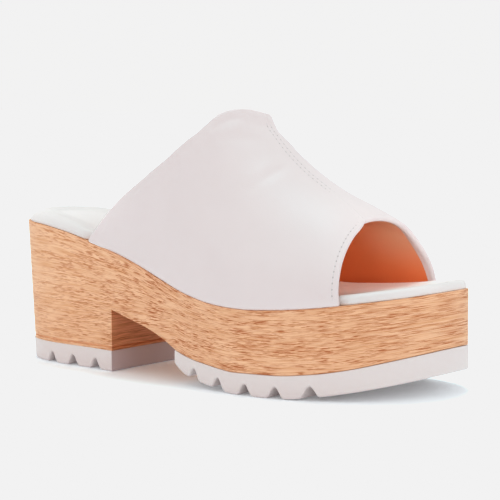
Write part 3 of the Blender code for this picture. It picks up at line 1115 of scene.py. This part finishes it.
    def relief(self, points: np.ndarray, way: np.ndarray) -> np.ndarray:
        """How far the leather's face stands out from its plain form. It is a sum of soft bells
        across creases, the seam and the rows of stitches, of soft steps up to the turned edges,
        and of a small ripple that fades away from the collar.

        Args:
            points: the plain points.
            way: their way round the section.

        Returns:
            The height at each point, in metres.
        """
        height = np.zeros(points.shape[:-1])
        for crease in self.creases:
            road = np.linspace(crease.start, crease.end, 13)
            gap, where = distance_to(points, self.point(road[:, 0], road[:, 1]))
            fade = np.sin(np.pi * np.clip(where, 0, 1)) ** self.crease_fade
            height -= crease.depth * fade * np.exp(-((gap / crease.width) ** 2))
        seam_road = np.linspace(0, 1, 41)
        seam, _ = distance_to(points, self.point(seam_road, self.seam_way(seam_road)))
        height += self.seam_valley.at(seam) + self.seam_row_dent.at(seam - self.seam_row_offset)
        collar, opening = self.edge_gaps(points)
        height += self.opening_roll * (1 - soft_step(opening, *self.opening_roll_ends))
        height += self.topstitch_dent.at(opening - self.topstitch_inset)
        height += self.collar_roll * (1 - soft_step(collar, *self.collar_roll_ends))
        corner, _ = distance_to(points, self.point(np.array(self.foot_corner_span), 0.0))
        height += self.foot_corner.at(corner)
        ripple = np.sin(collar / self.ripple_run + self.ripple_slant * points[..., 2])
        fade = np.exp(-collar / self.ripple_fade) * soft_step(way, *self.ripple_ends)
        return height + self.ripple_height * ripple * fade

    def tube(self, rows: int, columns: np.ndarray, margin: float, outer_depth: float,
             inner_depth: float, dressed: bool) -> list[Patch]:
        """A closed strip of hide inside the vamp's form: an outer face, half circles over its
        thickness at the collar and at the opening, an inner face, and ends at both feet. Rows
        crowd at the edges, as an even spacing is mixed with one by cosines. The outer face curls
        in by a quarter circle where it meets the sole.

        Args:
            rows: how many rows each face has.
            columns: grid columns from the outer foot (0) to the inner foot (1).
            margin: distance of its edges from the vamp's edges.
            outer_depth: depth of its outer face under the vamp's plain outer face.
            inner_depth: depth of its inner face.
            dressed: whether it is the leather, with its relief and the bed for the lining.

        Returns:
            The patches of its surface.
        """
        radius = (inner_depth - outer_depth) / 2
        base = np.linspace(0, 1, rows)
        crowded = 0.5 - 0.5 * np.cos(np.pi * base)
        base = (1 - self.edge_crowding) * base + self.edge_crowding * crowded
        edge_shift, arcs = [], []
        for edge, away in ((0.0, -1.0), (1.0, 1.0)):
            way = self.way_of(np.full_like(columns, edge), columns)
            outward = self.off_edge(edge, way)
            speed = np.linalg.norm(outward, axis=-1)
            edge_shift.append((margin + radius) / speed)
            arcs.append(away * outward / speed[:, None])
        along = edge_shift[0] + (1 - edge_shift[1] - edge_shift[0]) * base[:, None]
        way = self.way_of(along, columns[None, :])
        plain = self.point(along, way)
        normal = self.normal(along, way)
        lift = self.relief(plain, way) if dressed else np.zeros(plain.shape[:-1])
        foot = plain[..., 2] - self.sole.top(plain[..., 0])
        tuck = np.clip(1 - foot / self.foot_round, 0, 1)
        lift = lift - self.foot_tuck * (1 - np.sqrt(np.clip(1 - tuck**2, 0, 1)))
        outer = plain + normal * (lift - outer_depth)[..., None]
        depth = np.full(plain.shape[:-1], inner_depth)
        if dressed:
            depth = self.bed_depth(plain, inner_depth)
        inner = plain - normal * depth[..., None]
        turn = np.linspace(0, np.pi, 11)[1:-1, None, None]
        curls = []
        for end, out in ((0, arcs[0]), (-1, arcs[1])):
            middle = (outer[end] + inner[end]) / 2
            half = (outer[end] - inner[end]) / 2
            reach = np.linalg.norm(half, axis=-1, keepdims=True)
            curls.append(middle + half * np.cos(turn) + out * reach * np.sin(turn))
        loop = np.concatenate([outer, curls[1], inner[::-1], curls[0][::-1]])
        count = len(loop)
        skin = Patch(loop, close_rows=True)
        pairs = np.arange(count // 2 + 1)
        start = rows + len(turn) // 2
        order = (start + pairs) % count
        other = (start - pairs) % count
        ends = [Patch(np.stack([loop[order, c], loop[other, c]], axis=1)) for c in (0, -1)]
        return [skin, *ends]

    def bed_depth(self, plain: np.ndarray, inner_depth: float) -> np.ndarray:
        """Depth of the leather's inner face: full at the turned edges and less under the lining.

        Args:
            plain: points of the plain outer face.
            inner_depth: depth where the edge is turned over.

        Returns:
            The depth at each point.
        """
        gap = np.minimum(*self.edge_gaps(plain))
        bed = soft_step(gap, self.fold_width, self.fold_width + self.fold_step)
        return inner_depth + (self.lining_depth - inner_depth) * bed

    def leather_columns(self, count: int) -> np.ndarray:
        """Grid columns, closest at the seam and at both feet."""
        return spaced(count, ((0.5, 0.022, 4.5), (0.0, 0.012, 3.0), (1.0, 0.012, 3.0)))

    def stitch_rows(self) -> list[np.ndarray]:
        """The sewing lines: the seam's line shifted to both sides, and the opening's edge shifted
        back, each by its own distance over how fast the face runs there.

        Returns:
            Dense rows of (along, way), first outer and inner side of the seam, then the opening.
        """
        seam = np.linspace(*self.seam_row_span, 400)
        _, by_way = self.slopes(seam, self.seam_way(seam))
        shift = self.seam_row_offset / np.linalg.norm(by_way, axis=-1)
        ways = np.linspace(*self.topstitch_span, 600)
        back = self.topstitch_inset / np.linalg.norm(self.off_edge(1.0, ways), axis=-1)
        rows = [(seam, self.seam_way(seam) + side * shift) for side in (-1, 1)]
        return [np.stack(row, axis=1) for row in (*rows, (1 - back, ways))]

    def beads(self, bead: Bead) -> list[Patch]:
        """Small drawn-out beads along the sewing lines: each is a full ellipsoid with its long
        axis along the line. They lie deeper where the thread is pulled tighter: along the seam
        towards the toe opening, and in the opening's row towards its top.

        Args:
            bead: the beads' size and place.

        Returns:
            A closed grid for each bead.
        """
        places, roads, ups = [], [], []
        pitch = self.stitch_pitch
        for row in self.stitch_rows():
            line = self.point(row[:, 0], row[:, 1])
            run = np.concatenate([[0], np.cumsum(np.linalg.norm(np.diff(line, axis=0), axis=1))])
            at = np.arange(bead.phase * pitch + pitch, run[-1] - pitch, pitch)
            along, way = np.interp(at, run, row[:, 0]), np.interp(at, run, row[:, 1])
            ahead = np.stack([np.interp(at + pitch / 4, run, line[:, k]) for k in range(3)], 1)
            centre = self.point(along, way)
            up = self.normal(along, way)
            pulled = np.where(along < self.topstitch_start,
                              soft_step(along, *self.seam_pull_ends),
                              soft_step(way, *self.topstitch_pull_ends))
            lift = self.relief(centre, way) - bead.sink - self.pull_depth * pulled
            places.append(centre + up * lift[:, None])
            roads.append(unit(ahead - centre))
            ups.append(up)
        place, road, up = (np.vstack(part)[:, None, None] for part in (places, roads, ups))
        side = np.cross(up, road)
        polar = np.linspace(0, np.pi, 9)[None, :, None, None]
        turn = np.linspace(0, 2 * np.pi, 11)[:-1][None, None, :, None]
        ring = np.sin(polar) ** self.bead_fullness
        grids = (
            place
            + road * (-np.cos(polar) * bead.length / 2)
            + side * (ring * np.cos(turn) * bead.width / 2)
            + up * (ring * np.sin(turn) * bead.width * self.bead_height_share)
        )
        return [Patch(grid, close_columns=True) for grid in grids]

    def build(self) -> None:
        """Makes the leather, its lining, the stitches and the shaded pricks of their needle."""
        rows, columns = self.leather_grid
        leather = self.tube(rows, self.leather_columns(columns), 0, 0, self.wall, True)
        skin = build_piece("vamp_leather", leather, [SmoothLeather().material()])
        add_to_shoe(skin, "upper")
        rows, columns = self.lining_grid
        inside = self.tube(rows, np.linspace(0, 1, columns), self.fold_width - self.lining_overlap,
                           self.lining_depth + self.lining_gap, self.wall + self.lining_proud,
                           False)
        lining = build_piece("vamp_lining", inside, [LiningSuede().material()])
        add_to_shoe(lining, None)
        shadow = WaxedThread("needle_hole_shadow", "CFC6C4", 0.9)
        for name, bead, finish in (("vamp_stitches", self.stitch, WaxedThread()),
                                   ("needle_holes", self.needle_hole, shadow)):
            row = build_piece(name, self.beads(bead), [finish.material()])
            add_to_shoe(row, None)


@dataclass
class Insole:
    """The padded insole board, wrapped in leather that rolls over its rim."""

    sole: SoleForm
    thickness: float = 4.6 * MM
    dish: float = 1.0 * MM
    lift: float = 0.05 * MM
    rim_inset: float = 0.8 * MM
    tuck: float = 2.1 * MM
    tuck_length: float = 5.0 * MM
    seat_pad: float = 1.0 * MM
    seat_round: float = 3.4 * MM
    seat_length: float = 60.0 * MM
    seat_level_share: float = 0.3
    seat_doming: float = 1.5
    dish_reach: float = 2.4

    def covered(self, x: np.ndarray) -> np.ndarray:
        """Where the vamp stands round the insole: a soft step in behind its collar and a soft
        step out in front of its toe opening.

        Args:
            x: places along the shoe.

        Returns:
            1 inside the vamp and 0 beyond it.
        """
        start = self.sole.x_of(LEATHER_EDGES[0][1])
        end = self.sole.x_of(LEATHER_EDGES[0][2])
        back = np.clip((x - start) / self.tuck_length + 1, 0, 1)
        front = np.clip((end - x) / self.tuck_length + 1, 0, 1)
        return soft_step(np.minimum(back, front), 0, 1)

    def seat(self, x: np.ndarray) -> np.ndarray:
        """How much of the heel seat's pad lies at a place: a soft step down from its level back.

        Args:
            x: places along the shoe.

        Returns:
            1 at the back of the seat, falling to 0 in front of it.
        """
        back = self.sole.x_of(0)
        level = self.seat_level_share * self.seat_length
        return 1 - soft_step(x, back + level, back + self.seat_length)

    def build(self) -> None:
        """Makes the insole: rings up its rounded side by INSOLE_SIDE, then inwards over a top
        that sinks by a soft step into its dish. The heel seat rises and draws in as it goes up,
        by a power of the height."""
        sole = self.sole
        shares = sole.stations(0, 1, 180)
        edge_x = sole.rim(shares, 0)[:, 0]
        rim = self.rim_inset + self.tuck * self.covered(edge_x)
        rings = []
        side = np.array(INSOLE_SIDE)
        fine = np.linspace(0, len(side) - 1, 24)
        number = np.arange(len(side))
        insets = np.interp(fine, number, side[:, 0]) * self.thickness
        rises = np.interp(fine, number, side[:, 1]) * self.thickness
        inwards = np.linspace(0, 1, 12)[1:]
        insets = np.concatenate([insets, self.thickness * (1 + self.dish_reach * inwards)])
        rises = np.concatenate([rises, self.thickness - self.dish * soft_step(inwards, 0, 1)])
        for inset, rise in zip(insets, rises):
            raised = self.seat(edge_x) * (rise / self.thickness) ** self.seat_doming
            ring = sole.rim(shares, rim + inset + self.seat_round * raised)
            level = sole.top(ring[:, 0]) + self.lift + rise + self.seat_pad * raised
            rings.append(np.column_stack([ring, level]))
        patches = [
            Patch(np.stack(rings), close_columns=True),
            Patch(sole.sheet_across(rings[0], 9)),
            Patch(sole.sheet_across(rings[-1], 25)),
        ]
        cover = SmoothLeather("insole_leather", "EAE3E1", "E8E1DF", 0.5)
        piece = build_piece("insole_cover", patches, [cover.material()])
        add_to_shoe(piece, "insole")


@dataclass
class Platform:
    """The platform and block heel in one, wrapped in film, with the arch between them and a thin
    groove round the heel just above its tread."""

    sole: SoleForm
    edge_radius: float = 0.6 * MM
    lower_radius: float = 0.5 * MM
    groove_height: float = 1.6 * MM
    groove_depth: float = 0.75 * MM
    groove_width: float = 0.38 * MM
    groove_zone: float = 3.2 * MM
    print_level: float = 0.050
    print_follow: float = 0.75
    across: int = 15

    def grain(self, points: np.ndarray) -> np.ndarray:
        """Coordinates of the print on upright faces. Its lines follow the lower edge by a share
        that fades evenly upwards, and the top line by the square of the height.

        Args:
            points: points of the faces.

        Returns:
            The print's coordinates there.
        """
        sole, x, z = self.sole, points[..., 0], points[..., 2]
        low, high = sole.joint(x), sole.top(x)
        part = np.clip((z - low) / (high - low), 0, 1)
        follow = part**2 * (high - self.print_level)
        follow += self.print_follow * (1 - part) * (low - sole.tread_thickness)
        return np.stack([x, points[..., 1], z - follow], axis=-1)

    def flat_grain(self, points: np.ndarray) -> np.ndarray:
        """Coordinates of the print on faces that look down or up: lines along the shoe."""
        return np.stack([points[..., 0], points[..., 2], points[..., 1]], axis=-1)

    def groove(self, rise: np.ndarray) -> np.ndarray:
        """Depth of the groove at a rise above the heel's lower edge."""
        return self.groove_depth * np.exp(-(((rise - self.groove_height) / self.groove_width) ** 2))

    def ring(self, shares: np.ndarray, height: np.ndarray, inset: np.ndarray) -> np.ndarray:
        """One level of the side, with the heel's lean.

        Args:
            shares: the stations as length shares.
            height: the level's height at each point of the rim.
            inset: how far it lies inside the lean.

        Returns:
            The level's points, as rim() orders them.
        """
        x = self.sole.rim(shares, 0)[:, 0]
        lean = self.sole.lean(x, self.sole.top(x) - height)
        return np.column_stack([self.sole.rim(shares, lean + inset), height])

    def between(self, rim: np.ndarray, first: int, last: int) -> np.ndarray:
        """Both sides of a rim from station `first` to station `last`, as rim() orders them."""
        return np.vstack([rim[first : last + 1], rim[len(rim) - 1 - last : len(rim) - first]])

    def side(self, shares: np.ndarray) -> np.ndarray:
        """The long side, from the arch's and the forefoot's lower edge up: a quarter circle, a
        straight stretch and a quarter circle in to the top. Under the heel it starts level at
        the arch's height.

        Args:
            shares: the stations as length shares.

        Returns:
            Its levels, one under the other.
        """
        sole = self.sole
        x = sole.rim(shares, 0)[:, 0]
        low = np.where(sole.share_of(x) < sole.breast, sole.arch_height, sole.arch(x))
        high = sole.top(x) - self.edge_radius
        breast, foot = sole.x_of(sole.breast), sole.x_of(sole.arch_foot)
        lower = self.lower_radius * soft_step(x, breast, foot)
        levels = [(low + lower * (1 - math.cos(a)), lower * (1 - math.sin(a)))
                  for a in np.linspace(0, math.pi / 2, 5)[:-1]]
        start = low + lower
        levels += [(start + (high - start) * t, 0) for t in np.linspace(0, 1, 13)]
        levels += [(high + self.edge_radius * math.sin(a), self.edge_radius * (1 - math.cos(a)))
                   for a in np.linspace(0, math.pi / 2, 6)[1:]]
        return np.stack([self.ring(shares, height, inset) for height, inset in levels])

    def block(self, shares: np.ndarray) -> np.ndarray:
        """The heel block's side under the arch's height, with the groove as a bell in its lower
        part, also at its straight front.

        Args:
            shares: the heel's stations as length shares.

        Returns:
            Its levels, from its lower edge up.
        """
        foot = self.sole.tread_thickness + self.sole.joint_gap
        rises = np.concatenate([
            np.linspace(0, self.groove_zone, 17),
            np.linspace(self.groove_zone, self.sole.arch_height - foot, 9)[1:],
        ])
        levels = []
        for rise in rises:
            inset = float(self.groove(rise))
            row = self.ring(shares, np.full(2 * len(shares), foot + rise), inset)
            row[[len(shares) - 1, len(shares)], 0] -= inset
            levels.append(row)
        return np.stack(levels)

    def build(self) -> None:
        """Makes the platform from its side, heel block, breast, arch and three level faces."""
        sole, across = self.sole, self.across
        back = sole.stations(0, sole.breast, 70)
        arch = np.linspace(sole.breast, sole.arch_foot, 40)[1:-1]
        fore = sole.stations(sole.arch_foot, 1, 120)
        side = self.side(np.concatenate([back, arch, fore]))
        block = self.block(back)
        half = len(back)
        heel = np.concatenate([block[:, half:], block[:, :half]], axis=1)
        part = np.linspace(0, 1, across)[None, :, None]
        breast = block[:, half - 1, None] * (1 - part) + block[:, half, None] * part
        foot, toe = half + len(arch), half + len(arch) + len(fore) - 1
        under = sole.sheet_across(self.between(side[0], half - 1, foot), across)
        under_fore = sole.sheet_across(self.between(side[0], foot, toe), across)
        patches = [
            Patch(side, self.grain(side), close_columns=True),
            Patch(heel, self.grain(heel)),
            # Material 1, on the breast and under the arch, is a darker copy of the film: painted
            # shade.
            Patch(breast, self.grain(breast), material=1),
            Patch(under, self.flat_grain(under), material=1),
            Patch(under_fore, self.flat_grain(under_fore)),
        ]
        for rim in (block[0], side[-1]):
            sheet = sole.sheet_across(rim, across)
            patches.append(Patch(sheet, self.flat_grain(sheet)))
        # A darker copy of the wood film for the breast and the arch's underside: painted shade.
        painted_shade_arch_film = WoodFilm("wood_film_painted_shade_of_the_arch", "F0BB98", "E9B18B", "BB7C54", "D69A6F")
        films = [WoodFilm().material(), painted_shade_arch_film.material()]
        piece = build_piece("platform_wood_film", patches, films, 40)
        add_to_shoe(piece, "platform")


class TreadPlace(Enum):
    """The two treads of the shoe."""

    HEEL = "heel_tread"
    FOREFOOT = "forefoot_tread"


@dataclass
class Tread:
    """One lugged tread: level or rolled underneath, cut across by V-shaped notches.

    Stations lie close in a notch, to `notch_margin` past its mouth, and the even ones keep
    `notch_clear` away from it.
    """

    sole: SoleForm
    place: TreadPlace
    first_notch: float
    notches: int
    pitch: float = 16.2 * MM
    depth: float = 5.2 * MM
    mouth: float = 7.4 * MM
    root: float = 1.6 * MM
    edge_radius: float = 1.3 * MM
    lip_radius: float = 0.35 * MM
    proud: float = 0.3 * MM
    corner_blur: float = 0.55
    notch_margin: float = 1.2 * MM
    notch_clear: float = 1.4 * MM

    def span(self) -> tuple[float, float]:
        """Length shares of the tread's two ends."""
        if self.place is TreadPlace.HEEL:
            return 0.0, self.sole.breast
        return self.sole.arch_foot, 1.0

    def middles(self) -> np.ndarray:
        """x of the middle of each notch."""
        start = float(self.sole.x_of(self.span()[0])) + self.first_notch
        return start + self.pitch * np.arange(self.notches)

    def floor(self, x: np.ndarray) -> np.ndarray:
        """Height of the underside without its notches."""
        return self.sole.tread_bottom(x) if self.place is TreadPlace.FOREFOOT else 0 * x

    def bottom(self, x: np.ndarray) -> np.ndarray:
        """Height of the underside. A notch has a flat root and straight flanks, and the mean
        over a short stretch on both sides rounds its corners.

        Args:
            x: places along the shoe.

        Returns:
            The heights there.
        """
        slope = self.depth / ((self.mouth - self.root) / 2)
        total = np.zeros_like(x)
        shifts = np.linspace(-1, 1, 9) * self.root * self.corner_blur
        for shift in shifts:
            at = (x + shift)[:, None] - self.middles()
            rise = self.depth - slope * np.maximum(np.abs(at) - self.root / 2, 0)
            total += np.maximum(rise, 0).max(axis=1)
        return self.floor(x) + total / len(shifts)

    def stations(self) -> np.ndarray:
        """Places of the stations: evenly round the outline, and close in each notch.

        Returns:
            Their length shares.
        """
        sole = self.sole
        start, end = self.span()
        base = sole.x_of(sole.stations(start, end, 110))
        reach = np.linspace(-1, 1, 31) * (self.mouth / 2 + self.notch_margin)
        notch = (self.middles()[:, None] + reach).ravel()
        gap = np.abs(base[:, None] - self.middles()[None]).min(axis=1)
        kept = gap > self.mouth / 2 + self.notch_clear
        kept[[0, -1]] = True
        shares = sole.share_of(np.sort(np.concatenate([base[kept], notch])))
        shares[0], shares[-1] = start, end
        return shares

    def build(self) -> None:
        """Makes the tread: a quarter circle round its lower edge, the sides, a small quarter
        circle at its lip, and both faces straight across. Its end faces get a darker rubber, which
        is painted shade."""
        sole = self.sole
        shares = self.stations()
        x = sole.rim(shares, 0)[:, 0]
        low, high = self.bottom(x), sole.joint(x) + sole.joint_gap
        rings = []
        levels = [(self.edge_radius, low, 1, a) for a in np.linspace(0, math.pi / 2, 7)]
        levels += [(self.lip_radius, high, -1, a) for a in np.linspace(math.pi / 2, 0, 4)]
        for radius, edge, turn, angle in levels:
            height = edge + turn * radius * (1 - math.cos(angle))
            inset = radius * (1 - math.sin(angle))
            lean = sole.lean(x, sole.top(x) - height)
            ring = sole.rim(shares, lean + inset - self.proud, inset)
            rings.append(np.column_stack([ring, height]))
        rings = np.stack(rings)
        half = len(shares)
        patches = [
            Patch(rings[:, :half]),
            Patch(rings[:, half:]),
            # Material 1, on the end faces, is the darker rubber of painted shade.
            Patch(rings[:, half - 1 : half + 1], material=1),
            Patch(rings[:, [-1, 0]], material=1),
            Patch(sole.sheet_across(rings[0], 21)),
            Patch(sole.sheet_across(rings[-1], 21)),
        ]
        # A darker copy of the rubber for the end faces: painted shade.
        painted_shade_end_rubber = MouldedRubber("rubber_painted_shade_at_the_end", "DACDCE")
        piece = build_piece(f"{self.place.value}_rubber", patches,
                            [MouldedRubber().material(), painted_shade_end_rubber.material()], 40)
        add_to_shoe(piece, self.place.value)


def toward(azimuth: float, elevation: float) -> Vector:
    """Direction from the shoe to a place round it, azimuth 0 being its outer side."""
    a, e = math.radians(azimuth), math.radians(elevation)
    return Vector((math.sin(a) * math.cos(e), -math.cos(a) * math.cos(e), math.sin(e)))


def stand(name: str, data: bpy.types.ID, place: Vector, back: Vector) -> bpy.types.Object:
    """Stands a lamp or a camera in the scene.

    Args:
        name: its name.
        data: the lamp or camera.
        place: where it stands.
        back: the direction away from what it looks at.

    Returns:
        The new object.
    """
    item = bpy.data.objects.new(name, data)
    item.location = place
    item.rotation_euler = back.to_track_quat("Z", "Y").to_euler()
    bpy.context.scene.collection.objects.link(item)
    return item


@dataclass(frozen=True)
class Lamp:
    """A broad, far lamp: where it stands round the shoe, its strength, its width and colour."""

    name: str
    azimuth: float
    elevation: float
    strength: float
    angle: float
    colour: tuple[float, float, float]

    def add(self) -> None:
        """Puts the lamp in the scene."""
        data = bpy.data.lights.new(self.name, "SUN")
        data.energy = self.strength
        data.color = self.colour
        data.angle = math.radians(self.angle)
        stand(self.name, data, Vector(), toward(self.azimuth, self.elevation))


@dataclass(frozen=True)
class Snoot:
    """A narrow lamp that reaches into the vamp: where it aims, where it stands round the shoe,
    its watts, the angle of its cone, its colour, how far away it stands and its radius."""

    name: str
    aim: tuple[float, float, float]
    azimuth: float
    elevation: float
    watts: float
    angle: float
    colour: tuple[float, float, float] = (1.0, 1.0, 1.0)
    distance: float = 0.6
    radius: float = 0.03

    def add(self) -> None:
        """Puts the lamp in the scene, soft over its whole cone."""
        data = bpy.data.lights.new(self.name, "SPOT")
        data.energy = self.watts
        data.color = self.colour
        data.spot_size = math.radians(self.angle)
        data.spot_blend = 1.0
        data.shadow_soft_size = self.radius
        back = toward(self.azimuth, self.elevation)
        stand(self.name, data, Vector(self.aim) + back * self.distance, back)


@dataclass
class Studio:
    """The pale floor, the soft light all round and the camera at the photograph's angle."""

    floor_colour: str = "F2F8FB"
    floor_glow: float = 0.16
    floor_half: float = 3.0
    surround: tuple[float, float, float] = (1.01, 1.0, 1.0)
    paper_white: float = 0.887
    contrast: float = 1.5
    tone_places: tuple[float, ...] = (0.06, 0.15, 0.3, 0.45, 0.6, 0.75, 0.88)
    camera_azimuth: float = 37.0
    camera_elevation: float = 5.5324
    camera_distance: float = 1.0
    camera_target: tuple[float, float, float] = (0.0114649, 0.0040, 0.0601389)
    lens: float = 150.575
    sensor: float = 36.0
    lamps: tuple[Lamp | Snoot, ...] = (
        Lamp("top_light_from_behind", 212.0, 76.0, 0.66, 12.0, (0.60, 1.10, 1.15)),
        Lamp("low_light_from_the_toe", 75.0, 12.0, 0.08, 30.0, (1.0, 1.0, 1.0)),
        Snoot("snoot_into_the_toe", (0.076, 0.022, 0.075), 54.0, 7.0, 7.4, 4.2),
        Snoot("snoot_under_the_collar", (0.057, 0.026, 0.044), 280.0, 20.0, 52.0, 3.4,
              (1.0, 0.98, 0.98)),
    )

    def set_tones(self, settings: bpy.types.ColorManagedViewSettings) -> None:
        """Gives the picture a print's tones: paper white times a power of the light, and level
        above light 1, where the ground lies.

        Args:
            settings: the scene's view settings.
        """
        settings.view_transform = "Standard"
        settings.use_curve_mapping = True
        settings.curve_mapping.extend = "HORIZONTAL"
        curve = settings.curve_mapping.curves[3]
        curve.points[1].location = (1.0, self.paper_white)
        for light in self.tone_places:
            curve.points.new(light, self.paper_white * light**self.contrast)
        settings.curve_mapping.update()

    def add_surround(self, scene: bpy.types.Scene) -> None:
        """Lights the scene evenly all round.

        Args:
            scene: the scene.
        """
        world = bpy.data.worlds.new("soft_surround")
        world.use_nodes = True
        world.node_tree.nodes["Background"].inputs["Color"].default_value = (*self.surround, 1)
        scene.world = world

    def add_floor(self, scene: bpy.types.Scene) -> None:
        """Lays a matt painted floor that glows a little, so that it blends into the surround.

        Args:
            scene: the scene.
        """
        side = np.linspace(-self.floor_half, self.floor_half, 3)
        x, y = np.meshgrid(side, side, indexing="ij")
        grid = np.stack([x, y, x * 0], axis=-1)
        quads = Patch(grid).quads(0)[:, ::-1]
        mesh = bpy.data.meshes.new("floor")
        mesh.from_pydata(grid.reshape(-1, 3).tolist(), [], quads.tolist())
        material, tree, shader = new_material("painted_floor")
        set_node(tree, shader, {
            "Base Color": linear(self.floor_colour),
            "Roughness": 0.9,
            "Specular IOR Level": 0.0,
            "Emission Color": (1, 1, 1, 1),
            "Emission Strength": self.floor_glow,
        }, None)
        mesh.materials.append(material)
        floor = bpy.data.objects.new("floor", mesh)
        scene.collection.objects.link(floor)

    def build(self) -> None:
        """Makes tones, surround, floor, lamps and camera."""
        scene = bpy.context.scene
        self.set_tones(scene.view_settings)
        self.add_surround(scene)
        self.add_floor(scene)
        for lamp in self.lamps:
            lamp.add()
        data = bpy.data.cameras.new("camera")
        data.sensor_width = self.sensor
        data.lens = self.lens
        back = toward(self.camera_azimuth, self.camera_elevation)
        place = Vector(self.camera_target) + back * self.camera_distance
        scene.camera = stand("camera", data, place, back)


def main() -> None:
    """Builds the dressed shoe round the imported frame, and the studio."""
    logging.basicConfig(level=logging.INFO, format="%(message)s")
    low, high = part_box("platform")
    sole = SoleForm(length=high.x - low.x)
    Vamp(sole).build()
    Insole(sole).build()
    Platform(sole).build()
    Tread(sole, TreadPlace.HEEL, first_notch=30.2 * MM, notches=3).build()
    Tread(sole, TreadPlace.FOREFOOT, first_notch=13.5 * MM, notches=5).build()
    Studio().build()


if __name__ == "__main__":
    main()
